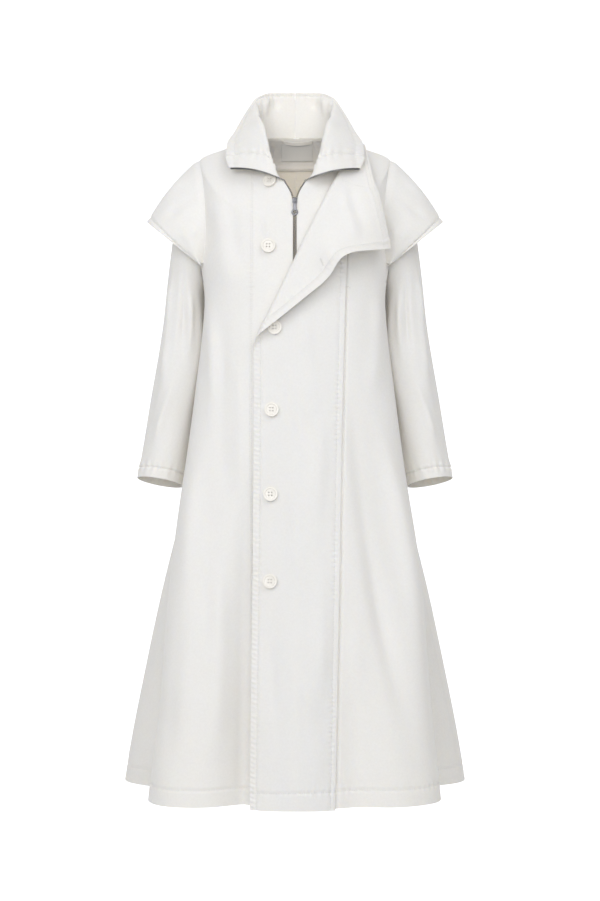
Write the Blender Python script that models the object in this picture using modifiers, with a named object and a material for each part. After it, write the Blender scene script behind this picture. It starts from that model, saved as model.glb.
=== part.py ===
"""A long white raincoat with shoulder capes, filled out as if worn, as sewn cloth walls.

Metres, +Z up, the front faces -Y, the wearer's left is +X. The origin is where the wearer's
neck and shoulders carry the coat: the middle of the neck, level with the centre back neck seam.
"""
import math

import bmesh
import bpy
import numpy as np

# Cloth and seams
WALL = 0.0016
CAPE_WALL = 0.0014
FACING_WALL = 0.0010
FACING_EASE = 0.0011
LABEL_WALL = 0.0006
SEAM_GAP = 0.0003

# Levels down the coat, measured along the middle of the back
NECK_LEVEL = 0.0
SHOULDER_LEVEL = 0.090
UNDERARM_LEVEL = 0.285
HEM_LEVEL = 1.233

# Rings of the body: half the width, then the side, front and back points; round under 1 is boxier
BODY_COLUMNS = (
    "level", "half_width", "side_y", "side_z", "front_y", "front_z", "back_y", "back_z", "round",
)
BODY_RINGS = (
    (0.000, 0.078, -0.010, -0.008, -0.135, -0.115, 0.055, 0.000, 1.00),
    (0.045, 0.128, -0.002, -0.028, -0.139, -0.150, 0.083, -0.040, 0.95),
    (0.090, 0.181, 0.006, -0.052, -0.143, -0.185, 0.100, -0.085, 0.85),
    (0.190, 0.185, 0.008, -0.170, -0.150, -0.245, 0.116, -0.180, 0.78),
    (0.300, 0.186, 0.008, -0.300, -0.158, -0.320, 0.122, -0.300, 0.74),
    (0.500, 0.204, 0.010, -0.500, -0.172, -0.505, 0.135, -0.500, 0.74),
    (0.680, 0.226, 0.012, -0.680, -0.190, -0.682, 0.155, -0.680, 0.76),
    (0.860, 0.252, 0.015, -0.860, -0.214, -0.860, 0.185, -0.860, 0.80),
    (1.050, 0.275, 0.018, -1.050, -0.240, -1.050, 0.215, -1.050, 0.82),
    (1.233, 0.302, 0.020, -1.233, -0.262, -1.233, 0.250, -1.233, 0.85),
)
DROP_POWER = 1.3

# Large folds: a soft rib or trough down the coat, by degrees round from the centre front
FOLD_COLUMNS = ("side", "start", "full", "start_angle", "full_angle", "spread", "out")
FOLDS = (
    (0, 0.210, 0.340, 94.0, 91.0, 21.0, -0.035),
    (0, 0.300, 1.233, 58.0, 42.0, 15.0, 0.036),
    (0, 0.600, 1.233, 82.0, 73.0, 11.0, -0.032),
    (0, 0.400, 1.200, 96.0, 92.0, 12.0, 0.061),
    (0, 0.600, 1.233, 130.0, 130.0, 12.0, -0.028),
    (0, 0.500, 1.233, 154.0, 154.0, 13.0, 0.026),
    (-1, 0.500, 1.233, 15.5, 16.0, 7.5, -0.040),
    (1, 0.800, 1.233, 19.0, 19.0, 8.0, -0.014),
    (1, 0.480, 0.800, 24.0, 40.0, 9.0, -0.010),
    (1, 0.450, 0.950, 78.0, 74.0, 8.0, -0.024),
)

# Seam lines on the body, in degrees round
SIDE_SEAM = 88.0
ARMHOLE_FRONT = 63.0
ARMHOLE_BACK = 119.0
ARMHOLE_SQUARE = 0.8
SLEEVE_INSET = 0.0062

# The open front above the zip slider: half the opening at each level
OPENING_COLUMNS = ("level", "half")
OPENING = (
    (0.000, 0.0205),
    (0.010, 0.0140),
    (0.022, 0.0085),
    (0.035, 0.0052),
    (0.048, 0.0036),
    (1.233, 0.0036),
)

# Collar: where half its height and its top edge lie, by degrees round the neck from the centre front
COLLAR_COLUMNS = ("angle", "mid_x", "mid_y", "mid_z", "edge_x", "edge_y", "edge_z")
COLLAR = (
    (180.0, 0.000, 0.064, 0.047, 0.000, 0.071, 0.091),
    (150.0, 0.043, 0.054, 0.046, 0.046, 0.062, 0.089),
    (120.0, 0.066, 0.024, 0.043, 0.072, 0.040, 0.076),
    (95.0, 0.069, -0.018, 0.036, 0.094, 0.012, 0.040),
    (72.0, 0.064, -0.050, 0.014, 0.113, -0.016, 0.001),
    (50.0, 0.058, -0.086, -0.022, 0.127, -0.040, -0.028),
    (30.0, 0.053, -0.120, -0.066, 0.128, -0.074, -0.056),
    (15.3, 0.066, -0.126, -0.090, 0.1205, -0.094, -0.081),
)
ZIP_EDGE_ANGLE = 15.3
COLLAR_OVER_FLAP = (0.0, -0.016, -0.0035)

# Sleeve: the outer and inner points of each ring, its front and back, and how much lower the back is
SLEEVE_COLUMNS = ("along", "outer_x", "outer_z", "inner_x", "inner_z", "front_y", "back_y", "back_drop")
SLEEVE = (
    (0.00, 0.181, -0.052, 0.162, -0.285, -0.074, 0.074, 0.000),
    (0.12, 0.218, -0.130, 0.1680, -0.296, -0.069, 0.070, 0.000),
    (0.25, 0.236, -0.235, 0.1700, -0.312, -0.062, 0.064, 0.002),
    (0.45, 0.252, -0.375, 0.1720, -0.390, -0.060, 0.060, 0.004),
    (0.70, 0.275, -0.515, 0.1880, -0.525, -0.060, 0.056, 0.006),
    (0.93, 0.293, -0.626, 0.2040, -0.640, -0.064, 0.050, 0.008),
    (1.00, 0.299, -0.655, 0.2120, -0.670, -0.066, 0.047, 0.009),
)
SLEEVE_SETTLES = 0.22

# Shoulder cape: its hem is half an ellipse in a sloping plane, from the front corner to the back one
CAPE_TIP_X = 0.281
CAPE_TIP_Y = 0.006
CAPE_TIP_Z = -0.1685
CAPE_FULLNESS = 0.030
CAPE_ROUND = 0.85
CAPE_CORNER_DROP = 0.006
CAPE_SEAM_TURN = 126.0
CAPE_LIFT = 0.0032
CAPE_LAP = 0.0060
CAPE_BULGE = 0.008

# Front overlap, as a flat pattern across the front, turned back along a straight roll line
OVERLAP_FREE_TOP_X = -0.0912
OVERLAP_FREE_CHEST_X = -0.0752
OVERLAP_FREE_WAIST_X = -0.0735
OVERLAP_FREE_HEM_X = -0.0795
OVERLAP_SEWN_TOP_X = 0.1180
OVERLAP_SEWN_CHEST_X = 0.0947
OVERLAP_SEWN_HEM_X = 0.0726
OVERLAP_FREE_TOP_Z = -0.1221
OVERLAP_PEAK_SHARE = 0.878
OVERLAP_PEAK_Z = -0.0200
OVERLAP_SEWN_TOP_Z = -0.0380
OVERLAP_SEWN_CHEST_Z = -0.2550
OVERLAP_HEM_Z = -1.236
OVERLAP_STAND_OFF = 0.0022
OVERLAP_SHOULDER_EASE = 0.0016
OVERLAP_FOLD_SHARE = 0.35
ROLL_LOW = (-0.0375, -0.3548)
ROLL_HIGH = (0.1080, -0.0455)
ROLL_RADIUS = 0.0075
ROLL_TOP_RADIUS = 0.0040
ROLL_NARROWS = (0.230, 0.340)
FLAP_LIFT = 0.010
FLAP_WAVE_AT = 0.138
FLAP_WAVE_SPREAD = 0.034
FLAP_WAVE_PULL = 0.24
FLAP_WAVE_OUT = 0.016

# Zip rows, slider and pull tab
ZIP_END_LEVEL = 0.850
ZIP_ROW_OFF = 0.0007
ZIP_ROW_WIDTH = 0.0027
ZIP_ROW_WALL = 0.0024
ZIP_ROWS = 44
ZIP_FRONT_SHARE = 0.66
ZIP_TURN = (0.54, 0.80)
SLIDER_LEVEL = 0.042
SLIDER_SIZE = (0.0086, 0.0016, 0.0130)
SLIDER_RADIUS = 0.0022
BAIL_SIZE = (0.0016, 0.0036, 0.0064)
BAIL_BAR = 0.0012
TAB_PIVOT_OUT = 0.0013
TAB_WALL = 0.0014
TAB_LENGTH = 0.0270
TAB_HALF_WIDTH = 0.0032
TAB_END_RADIUS = 0.0062
TAB_EYE_RADIUS = 0.0034
TAB_CROSSBAR = 0.0014
TAB_SLOT = (0.0030, 0.0052)

# Buttons: across the front and down it, the first two on the right front, the others on the overlap
BUTTON_COLUMNS = ("number", "x", "z", "on_overlap")
BUTTONS = (
    (1, -0.0455, -0.1080, False),
    (2, -0.0480, -0.2300, False),
    (3, -0.0362, -0.3800, True),
    (4, -0.0415, -0.5290, True),
    (5, -0.0430, -0.6810, True),
    (6, -0.0435, -0.8360, True),
)
BUTTON_RADIUS = 0.0130
BUTTON_RIM = 0.0030
BUTTON_HEIGHT = 0.0042
BUTTON_DISH = 0.0012
BUTTON_HOLE_RADIUS = 0.0012
BUTTON_HOLE_REACH = 0.0026

# Neck: facing, label and hanger loop inside the back
FACING_ANGLE = 128.0
FACING_TOP_LEVEL = 0.0015
FACING_LOW_LEVEL = 0.0620
LABEL_MIDDLE_X = 0.0040
LABEL_HALF_WIDTH = 0.0310
LABEL_TOP_LEVEL = 0.0090
LABEL_LOW_LEVEL = 0.0430
LOOP_HALF_WIDTH = 0.0300
LOOP_TOP_LEVEL = 0.0020
LOOP_LOW_LEVEL = 0.0080
LOOP_SAG = 0.0050
LOOP_STAND_OFF = 0.0040


def column(table, columns, name):
    return np.array([row[columns.index(name)] for row in table], float)


def spline(at, values, where):
    """A smooth curve through the values that doesn't overshoot them."""
    at = np.asarray(at, float)
    values = np.asarray(values, float)
    step = np.diff(at)
    rise = np.diff(values) / step
    slope = np.empty_like(values)
    slope[0] = rise[0]
    slope[-1] = rise[-1]
    before = rise[:-1]
    after = rise[1:]
    same = before * after > 0
    total = np.where(same, before + after, 1.0)
    slope[1:-1] = np.where(same, 2 * before * after / total, 0.0)
    where = np.clip(where, at[0], at[-1])
    i = np.clip(np.searchsorted(at, where) - 1, 0, len(step) - 1)
    t = (where - at[i]) / step[i]
    start = values[i] * (1 + 2 * t) * (1 - t) ** 2 + slope[i] * step[i] * t * (1 - t) ** 2
    end = values[i + 1] * t * t * (3 - 2 * t) + slope[i + 1] * step[i] * t * t * (t - 1)
    return start + end


def smooth(t):
    t = np.clip(t, 0.0, 1.0)
    return t * t * (3 - 2 * t)


def rings(level):
    at = column(BODY_RINGS, BODY_COLUMNS, "level")
    return {name: spline(at, column(BODY_RINGS, BODY_COLUMNS, name), level) for name in BODY_COLUMNS[1:]}


def fold_out(side, turn, level):
    """How far the large folds push the cloth out at this place."""
    out = np.zeros_like(turn)
    for row in FOLDS:
        fold = dict(zip(FOLD_COLUMNS, row))
        grown = smooth((level - fold["start"]) / (fold["full"] - fold["start"]))
        angle = fold["start_angle"] + (fold["full_angle"] - fold["start_angle"]) * grown
        here = np.where(fold["side"] == 0, 1.0, fold["side"] == side)
        out = out + here * fold["out"] * grown * np.exp(-(((turn - angle) / fold["spread"]) ** 2))
    return out


def body(angle, level, fold_share=1.0):
    """A point of the coat's body: degrees round from the centre front (+ to the wearer's left)."""
    angle, level = np.broadcast_arrays(np.asarray(angle, float), np.asarray(level, float))
    angle = (angle + 180.0) % 360.0 - 180.0
    side = np.where(angle < 0, -1.0, 1.0)
    turn = np.abs(angle)
    ring = rings(level)
    sine = np.clip(np.sin(np.radians(turn)), 0.0, 1.0)
    cosine = np.cos(np.radians(turn))
    reach = np.abs(cosine)
    end_y = np.where(cosine > 0, ring["front_y"], ring["back_y"])
    end_z = np.where(cosine > 0, ring["front_z"], ring["back_z"])
    out = fold_share * fold_out(side, turn, level)
    x = ring["half_width"] * sine ** ring["round"] + out * sine
    y = ring["side_y"] + (end_y - ring["side_y"]) * reach ** ring["round"] - out * cosine
    z = ring["side_z"] + (end_z - ring["side_z"]) * reach ** DROP_POWER
    return np.stack((side * x, y, z), -1)


def unit(vectors):
    return vectors / np.maximum(np.linalg.norm(vectors, axis=-1, keepdims=True), 1e-12)


def body_normal(angle, level, fold_share=1.0):
    """The outward direction of the body's cloth."""
    level = np.asarray(level, float)
    high = np.clip(level - 0.004, NECK_LEVEL, HEM_LEVEL)
    low = np.clip(level + 0.004, NECK_LEVEL, HEM_LEVEL)
    round_it = body(angle + 0.6, level, fold_share) - body(angle - 0.6, level, fold_share)
    up = body(angle, high, fold_share) - body(angle, low, fold_share)
    return unit(np.cross(round_it, up))


def angle_at(x, level):
    """The degrees round, on the front, at which the body is x across."""
    ring = rings(level)
    share = np.clip(np.abs(x) / ring["half_width"], 0.0, 1.0)
    return np.sign(x) * np.degrees(np.arcsin(share ** (1 / ring["round"])))


def front_at(x, z):
    """The angle and level of the front at a place seen from the front."""
    levels = np.linspace(0.0, HEM_LEVEL, 500)
    ring = rings(levels)
    found = np.empty_like(x)
    for i, (across, height) in enumerate(zip(x, z)):
        share = np.clip(np.abs(across) / ring["half_width"], 0.0, 1.0)
        reach = np.sqrt(1 - share ** (2 / ring["round"]))
        heights = ring["side_z"] + (ring["front_z"] - ring["side_z"]) * reach ** DROP_POWER
        found[i] = np.interp(-height, -heights, levels)
    return angle_at(x, found), found


def trim(angle, level):
    """Half a seam gap as degrees round."""
    reach = np.linalg.norm(body(angle + 0.5, level) - body(angle - 0.5, level), axis=-1)
    return 0.5 * SEAM_GAP / np.maximum(reach, 0.0005)


def armhole_spread(level):
    """How open the armhole is at a level, from 0 at its ends to 1."""
    turn = 1 - 2 * (level - SHOULDER_LEVEL) / (UNDERARM_LEVEL - SHOULDER_LEVEL)
    return np.sqrt(np.clip(1 - turn**2, 0.0, 1.0)) ** ARMHOLE_SQUARE


def armhole(turn, inset=SLEEVE_INSET):
    """The armhole's edge on the left: 0 at the shoulder, 90 in front, 180 underarm, -90 behind."""
    turn = np.asarray(turn, float)
    share = 0.5 * (1 - np.cos(np.radians(turn)))
    level = SHOULDER_LEVEL + inset + (UNDERARM_LEVEL - SHOULDER_LEVEL - 2 * inset) * share
    spread = np.abs(np.sin(np.radians(turn))) ** ARMHOLE_SQUARE
    edge = np.where(turn >= 0, ARMHOLE_FRONT, ARMHOLE_BACK)
    angle = SIDE_SEAM + (edge - SIDE_SEAM) * spread * (1 - inset / 0.04)
    return angle, level


def mirrored(points, side):
    return points * np.array((side, 1.0, 1.0))


def material(name, colour, roughness, metallic=0.0):
    made = bpy.data.materials.new(name)
    made.use_nodes = True
    shader = made.node_tree.nodes["Principled BSDF"]
    shader.inputs["Base Color"].default_value = (*colour, 1.0)
    shader.inputs["Roughness"].default_value = roughness
    shader.inputs["Metallic"].default_value = metallic
    return made


def add_object(name, mesh, finish):
    mesh.materials.append(finish)
    part = bpy.data.objects.new(name, mesh)
    coat.objects.link(part)
    return part


def cloth(name, columns, rows, place, wall, finish, closed=False, flip=False):
    """A cut piece: a grid laid on its place, with the wall grown inward.

    A piece that gives its own outward directions shares them with the piece across the seam, so it
    is extruded along them; the others have their wall from Solidify.
    """
    bm = bmesh.new()
    bmesh.ops.create_grid(bm, x_segments=columns, y_segments=rows, size=0.5)
    across = np.array([vertex.co.x + 0.5 for vertex in bm.verts])
    up = np.array([vertex.co.y + 0.5 for vertex in bm.verts])
    points, outward = place(across, up)
    outer = list(bm.verts)
    if outward is not None:
        for vertex, point in zip(outer, points):
            vertex.co = point
        places = {vertex.co.to_tuple(7): point for vertex, point in zip(outer, points - wall * outward)}
        made = bmesh.ops.extrude_face_region(bm, geom=bm.faces[:])["geom"]
        for vertex in made:
            if isinstance(vertex, bmesh.types.BMVert):
                vertex.co = places[vertex.co.to_tuple(7)]
        bmesh.ops.recalc_face_normals(bm, faces=bm.faces)
    else:
        for vertex, point in zip(outer, points):
            vertex.co = point
    if closed:
        bmesh.ops.remove_doubles(bm, verts=bm.verts, dist=1e-6)
    if flip:
        bmesh.ops.reverse_faces(bm, faces=bm.faces)
    mesh = bpy.data.meshes.new(name)
    bm.to_mesh(mesh)
    bm.free()
    part = add_object(name, mesh, finish)
    if outward is None:
        grown = part.modifiers.new("Wall", "SOLIDIFY")
        grown.thickness = wall
        grown.offset = -1.0
        grown.use_even_offset = True
    return part


def panel_level(up):
    """Rows of a body panel: one on each end of the armhole, close together at the shoulder."""
    shares = np.array((0, 9, 11, 15, 19, 24)) / 24
    armhole_rows = (UNDERARM_LEVEL, UNDERARM_LEVEL - 0.023, SHOULDER_LEVEL + 0.04, SHOULDER_LEVEL)
    return np.interp(up, shares, (HEM_LEVEL, *armhole_rows, NECK_LEVEL))


def opening_half(level):
    """Half the open front at a level."""
    at = column(OPENING, OPENING_COLUMNS, "level")
    return spline(at, column(OPENING, OPENING_COLUMNS, "half"), level)


def front_place(side):
    def place(across, up):
        across = across if side > 0 else 1 - across
        level = panel_level(up)
        first = angle_at(opening_half(level), level)
        last = SIDE_SEAM - (SIDE_SEAM - ARMHOLE_FRONT) * armhole_spread(level)
        last = last - trim(last, level)
        angle = side * (first + (last - first) * across)
        return body(angle, level), body_normal(angle, level)

    return place


def back_place(side):
    def place(across, up):
        across = across if side > 0 else 1 - across
        level = panel_level(up)
        first = SIDE_SEAM + (ARMHOLE_BACK - SIDE_SEAM) * armhole_spread(level)
        first = first + trim(first, level)
        last = 180.0 - trim(np.full_like(level, 179.0), level)
        angle = side * (first + (last - first) * across)
        return body(angle, level), body_normal(angle, level)

    return place


def collar_point(angle, up, side):
    """Half the collar as on the left, from the neck seam (0) to its top edge (1).

    The left half lies over the turned flap, so its front stands further out.
    """
    at = column(COLLAR, COLLAR_COLUMNS, "angle")[::-1]
    values = {name: column(COLLAR, COLLAR_COLUMNS, name)[::-1] for name in COLLAR_COLUMNS[1:]}
    read = {name: spline(at, table, angle) for name, table in values.items()}
    low = body(angle, np.zeros_like(angle)) + np.array((0.0, 0.0, 0.0006))
    mid = np.stack((read["mid_x"], read["mid_y"], read["mid_z"]), -1)
    edge = np.stack((read["edge_x"], read["edge_y"], read["edge_z"]), -1)
    t = up[..., None]
    point = low * (1 - t) * (1 - 2 * t) + mid * 4 * t * (1 - t) + edge * t * (2 * t - 1)
    if side > 0:
        push = smooth(up / 0.7) * smooth((95.0 - angle) / 45.0)
        point = point + push[..., None] * np.array(COLLAR_OVER_FLAP)
    return point


def collar_place(side):
    def place(across, up):
        across = across if side > 0 else 1 - across
        angle = ZIP_EDGE_ANGLE + (179.88 - ZIP_EDGE_ANGLE) * across
        round_it = collar_point(angle + 1.5, up, side) - collar_point(angle - 1.5, up, side)
        above = collar_point(angle, np.clip(up + 0.03, 0, 1), side)
        rise = above - collar_point(angle, np.clip(up - 0.03, 0, 1), side)
        outward = unit(np.cross(round_it, rise))
        outward[..., 0] *= smooth((180.0 - angle) / 12.0)
        return mirrored(collar_point(angle, up, side), side), mirrored(unit(outward), side)

    return place


def sleeve_point(turn, along):
    """The left sleeve: degrees round it as at the armhole, and from the armhole (0) to the cuff (1)."""
    at = column(SLEEVE, SLEEVE_COLUMNS, "along")
    read = {name: spline(at, column(SLEEVE, SLEEVE_COLUMNS, name), along) for name in SLEEVE_COLUMNS[1:]}
    cosine = np.cos(np.radians(turn))
    sine = np.sin(np.radians(turn))
    middle_y = 0.5 * (read["front_y"] + read["back_y"])
    deep = 0.5 * (read["back_y"] - read["front_y"])
    share = 0.5 * (1 - cosine)
    x = read["outer_x"] + (read["inner_x"] - read["outer_x"]) * share
    y = middle_y - deep * sine
    z = read["outer_z"] + (read["inner_z"] - read["outer_z"]) * share + read["back_drop"] * sine
    ring = np.stack((x, y, z), -1)
    angle, level = armhole(turn)
    blend = smooth(along / SLEEVE_SETTLES)[..., None]
    return body(angle, level) * (1 - blend) + ring * blend


def sleeve_place(side):
    def place(across, up):
        turn = 180.0 - 360.0 * across
        return mirrored(sleeve_point(np.where(turn <= -180.0, 180.0, turn), 1 - up), side), None

    return place


def cape_seam(across):
    """The cape's sewn edge, just over the armhole seam."""
    angle, level = armhole(CAPE_SEAM_TURN * (1 - 2 * across), inset=-CAPE_LAP)
    return body(angle, level) + CAPE_LIFT * body_normal(angle, level)


def cape_point(across, down):
    """The left cape, from its front corner (0) over the shoulder to the back one (1), seam to hem."""
    seam = cape_seam(across)
    front, back = cape_seam(np.array((0.0, 1.0)))
    front = front + np.array((0.0, -0.001, -CAPE_CORNER_DROP))
    back = back + np.array((0.0, 0.001, -CAPE_CORNER_DROP))
    swing = np.radians(180.0 * across - 90.0)
    out = np.clip(np.cos(swing), 0.0, 1.0) ** CAPE_ROUND
    aside = np.sign(np.sin(swing)) * np.abs(np.sin(swing)) ** CAPE_ROUND
    middle = 0.5 * (front + back)
    tip = np.array((CAPE_TIP_X, CAPE_TIP_Y, CAPE_TIP_Z))
    hem = middle + aside[..., None] * 0.5 * (back - front) + out[..., None] * (tip - middle)
    hem[..., 1] += CAPE_FULLNESS * aside * out
    away = unit(np.stack((0.4 + 0.0 * out, 1.1 * aside, 0.5 * out), -1))
    bulge = CAPE_BULGE * np.sin(np.pi * down)[..., None] * away
    return seam * (1 - down[..., None]) + hem * down[..., None] + bulge


def cape_place(side):
    def place(across, up):
        across = across if side > 0 else 1 - across
        return mirrored(cape_point(across, 1 - up), side), None

    return place


def overlap_sewn(z):
    """How far across the overlap's sewn edge lies: almost straight, bending out under the turned flap."""
    heights = (OVERLAP_HEM_Z, OVERLAP_SEWN_CHEST_Z, OVERLAP_SEWN_TOP_Z)
    return spline(heights, (OVERLAP_SEWN_HEM_X, OVERLAP_SEWN_CHEST_X, OVERLAP_SEWN_TOP_X), z)


def overlap_point(x, z, wall=WALL):
    """A point of the overlap's flat pattern, laid on the front and turned back past the roll line."""
    run = np.array(ROLL_HIGH) - np.array(ROLL_LOW)
    run = run / np.linalg.norm(run)
    from_x = x - ROLL_LOW[0]
    from_z = z - ROLL_LOW[1]
    along = from_x * run[0] + from_z * run[1]
    past = -from_x * run[1] + from_z * run[0]
    narrowed = smooth((along - ROLL_NARROWS[0]) / (ROLL_NARROWS[1] - ROLL_NARROWS[0]))
    radius = ROLL_RADIUS + (ROLL_TOP_RADIUS - ROLL_RADIUS) * narrowed
    bend = np.clip(past / radius, 0.0, np.pi)
    flap = np.maximum(past - np.pi * radius, 0.0)
    wave = smooth(flap / 0.06) * np.exp(-(((along - FLAP_WAVE_AT) / FLAP_WAVE_SPREAD) ** 2))
    flap = flap * (1 - FLAP_WAVE_PULL * wave)
    beside = np.where(past < 0, past, radius * np.sin(bend) - flap)
    raised = radius * (1 - np.cos(bend)) + FLAP_LIFT * smooth(flap / 0.09) + FLAP_WAVE_OUT * wave
    on_x = ROLL_LOW[0] + along * run[0] - beside * run[1]
    on_z = ROLL_LOW[1] + along * run[1] + beside * run[0]
    angle, level = front_at(on_x, on_z)
    free = smooth((overlap_sewn(z) - x) / 0.05)
    ease = OVERLAP_SHOULDER_EASE * smooth((z + 0.15) / 0.07)
    stand = wall + SEAM_GAP + 0.0005 + ease + OVERLAP_STAND_OFF * free
    hung = body(angle, level, 1.0)
    eased = body(angle, level, OVERLAP_FOLD_SHARE)
    point = hung + (eased - hung) * (free * (past < 0))[..., None]
    return point + (stand + raised)[..., None] * body_normal(angle, level, OVERLAP_FOLD_SHARE)


def overlap_pattern(across, up):
    """The flat pattern: the free edge (0) to the sewn edge (1), the hem (0) to the top (1)."""
    height = np.interp(up, (0.0, 0.30, 0.66, 1.0), (0.0, 0.65, 0.815, 1.0))
    sewn = overlap_sewn(OVERLAP_HEM_Z + (OVERLAP_SEWN_TOP_Z - OVERLAP_HEM_Z) * height)
    waist_up = (OVERLAP_FREE_WAIST_X, OVERLAP_FREE_CHEST_X, OVERLAP_FREE_TOP_X)
    free = spline((0.0, 0.65, 0.92, 1.0), (OVERLAP_FREE_HEM_X, *waist_up), height)
    x = free + (sewn - free) * across
    tops = (OVERLAP_FREE_TOP_Z, OVERLAP_PEAK_Z, OVERLAP_SEWN_TOP_Z)
    top = np.interp(across, (0.0, OVERLAP_PEAK_SHARE, 1.0), tops)
    return x, OVERLAP_HEM_Z + (top - OVERLAP_HEM_Z) * height


def overlap_place(across, up):
    return overlap_point(*overlap_pattern(across, up)), None


def inside_back(angle, level, depth):
    """A place inside the back, this deep under its outer face."""
    outward = body_normal(angle, level)
    return body(angle, level) - depth * outward, outward


def facing_place(across, up):
    angle = FACING_ANGLE + (360.0 - 2 * FACING_ANGLE) * across
    level = FACING_LOW_LEVEL + (FACING_TOP_LEVEL - FACING_LOW_LEVEL) * up
    return inside_back(angle, level, WALL + SEAM_GAP + FACING_EASE)


def label_place(across, up):
    level = LABEL_LOW_LEVEL + (LABEL_TOP_LEVEL - LABEL_LOW_LEVEL) * up
    x = LABEL_MIDDLE_X + LABEL_HALF_WIDTH * (1 - 2 * across)
    share = x / rings(level)["half_width"]
    angle = 180.0 - np.degrees(np.arcsin(np.sign(share) * np.abs(share) ** (1 / rings(level)["round"])))
    return inside_back(angle, level, WALL + FACING_WALL + 2 * SEAM_GAP + 1.5 * FACING_EASE)


def loop_place(across, up):
    swing = 2 * across - 1
    level = LOOP_LOW_LEVEL + (LOOP_TOP_LEVEL - LOOP_LOW_LEVEL) * up
    share = (LABEL_MIDDLE_X - LOOP_HALF_WIDTH * swing) / rings(level)["half_width"]
    angle = 180.0 - np.degrees(np.arcsin(share))
    points, outward = inside_back(angle, level, WALL + FACING_WALL + 2 * SEAM_GAP + FACING_EASE)
    bow = 1 - swing**2
    away = np.stack((0.0 * bow, -LOOP_STAND_OFF * bow, -LOOP_SAG * bow), -1)
    return points + away, None


def zip_line(up, side):
    """A zip row's line and the way its teeth point, as on the left: up the front, out along the collar.

    The row turns over with the collar, by way of facing straight ahead.
    """
    level = np.interp(up, (0.0, 0.16, 0.40, ZIP_FRONT_SHARE), (ZIP_END_LEVEL, 0.060, 0.026, 0.0005))
    angle = angle_at(opening_half(level), level)
    front = body(angle, level) - 0.0002 * body_normal(angle, level)
    to_middle = unit(front - body(angle + 2.0, level))
    raised = np.clip((up - ZIP_FRONT_SHARE) / (1 - ZIP_FRONT_SHARE), 0.0, 1.0)
    first = np.full_like(up, ZIP_EDGE_ANGLE)
    edge = collar_point(first, raised, side)
    off_collar = unit(edge - collar_point(first + 3.0, raised, side))
    share = smooth((up - ZIP_TURN[0]) / (ZIP_TURN[1] - ZIP_TURN[0]))[..., None]
    ahead = 4 * share * (1 - share) * np.array((0.0, -1.0, 0.0))
    toward = to_middle * (1 - share) + off_collar * share + ahead
    return np.where((up <= ZIP_FRONT_SHARE)[..., None], front, edge), unit(toward)


def zip_place(side):
    def place(across, up):
        side_out = ZIP_ROW_OFF + ZIP_ROW_WIDTH * (1 - across if side > 0 else across)
        line, toward = zip_line(up, side)
        step = 0.5 / ZIP_ROWS
        run = zip_line(np.minimum(up + step, 1.0), side)[0] - zip_line(np.maximum(up - step, 0.0), side)[0]
        outward = unit(np.cross(run, toward))
        points = line + side_out[..., None] * unit(np.cross(outward, run))
        return mirrored(points, side), mirrored(outward, side)

    return place


def turned(name, profile, steps, finish):
    """A solid turned round Z from a profile of (radius, height) points."""
    bm = bmesh.new()
    points = [bm.verts.new((radius, 0.0, height)) for radius, height in profile]
    edges = [bm.edges.new(pair) for pair in zip(points, points[1:])]
    ring = points + edges
    whole = 2 * math.pi
    bmesh.ops.spin(bm, geom=ring, cent=(0, 0, 0), axis=(0, 0, 1), angle=whole, steps=steps, use_merge=True)
    bmesh.ops.remove_doubles(bm, verts=bm.verts, dist=1e-6)
    bmesh.ops.recalc_face_normals(bm, faces=bm.faces)
    mesh = bpy.data.meshes.new(name)
    bm.to_mesh(mesh)
    bm.free()
    return add_object(name, mesh, finish)


def cutter(mesh_maker, name):
    """A helper solid for a Boolean, kept out of the part's own collection."""
    bm = bmesh.new()
    mesh_maker(bm)
    mesh = bpy.data.meshes.new(name)
    bm.to_mesh(mesh)
    bm.free()
    made = bpy.data.objects.new(name, mesh)
    bpy.context.scene.collection.objects.link(made)
    return made


def box_maker(size, middle):
    def make(bm):
        bmesh.ops.create_cube(bm, size=1.0)
        bmesh.ops.scale(bm, vec=size, verts=bm.verts)
        bmesh.ops.translate(bm, vec=middle, verts=bm.verts)

    return make


def rod_maker(radius, length, middle, across_y, segments):
    def make(bm):
        bmesh.ops.create_cone(
            bm, cap_ends=True, segments=segments, radius1=radius, radius2=radius, depth=length
        )
        if across_y:
            for vertex in bm.verts:
                vertex.co = (vertex.co.x, -vertex.co.z, vertex.co.y)
        bmesh.ops.translate(bm, vec=middle, verts=bm.verts)

    return make


def combine(part, makers, operation):
    """Join or cut helper solids, then apply and remove them."""
    for number, maker in enumerate(makers):
        helper = cutter(maker, f"{part.name}_helper_{number}")
        step = part.modifiers.new(f"{operation}_{number}", "BOOLEAN")
        step.operation = operation
        step.solver = "EXACT"
        step.object = helper
        graph = bpy.context.evaluated_depsgraph_get()
        done = bpy.data.meshes.new_from_object(part.evaluated_get(graph))
        part.modifiers.clear()
        part.data = done
        bpy.data.objects.remove(helper)
    return part


def set_on(part, place, normal):
    """Moves a part's mesh so its own +Z points along the normal at a place."""
    normal = normal / np.linalg.norm(normal)
    side = np.cross((0.0, 0.0, 1.0), normal)
    side = side / np.linalg.norm(side)
    up = np.cross(normal, side)
    for vertex in part.data.vertices:
        x, y, z = vertex.co
        vertex.co = place + x * side + y * up + z * normal


for old in list(bpy.data.objects):
    bpy.data.objects.remove(old)
coat = bpy.data.collections.new("raincoat")
bpy.context.scene.collection.children.link(coat)

cotton = material("cotton", (0.80, 0.79, 0.76), 0.85)
tape = material("label_tape", (0.62, 0.62, 0.61), 0.80)
metal = material("zip_metal", (0.55, 0.55, 0.56), 0.35, 1.0)
plastic = material("button_plastic", (0.82, 0.80, 0.75), 0.35)

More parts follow.
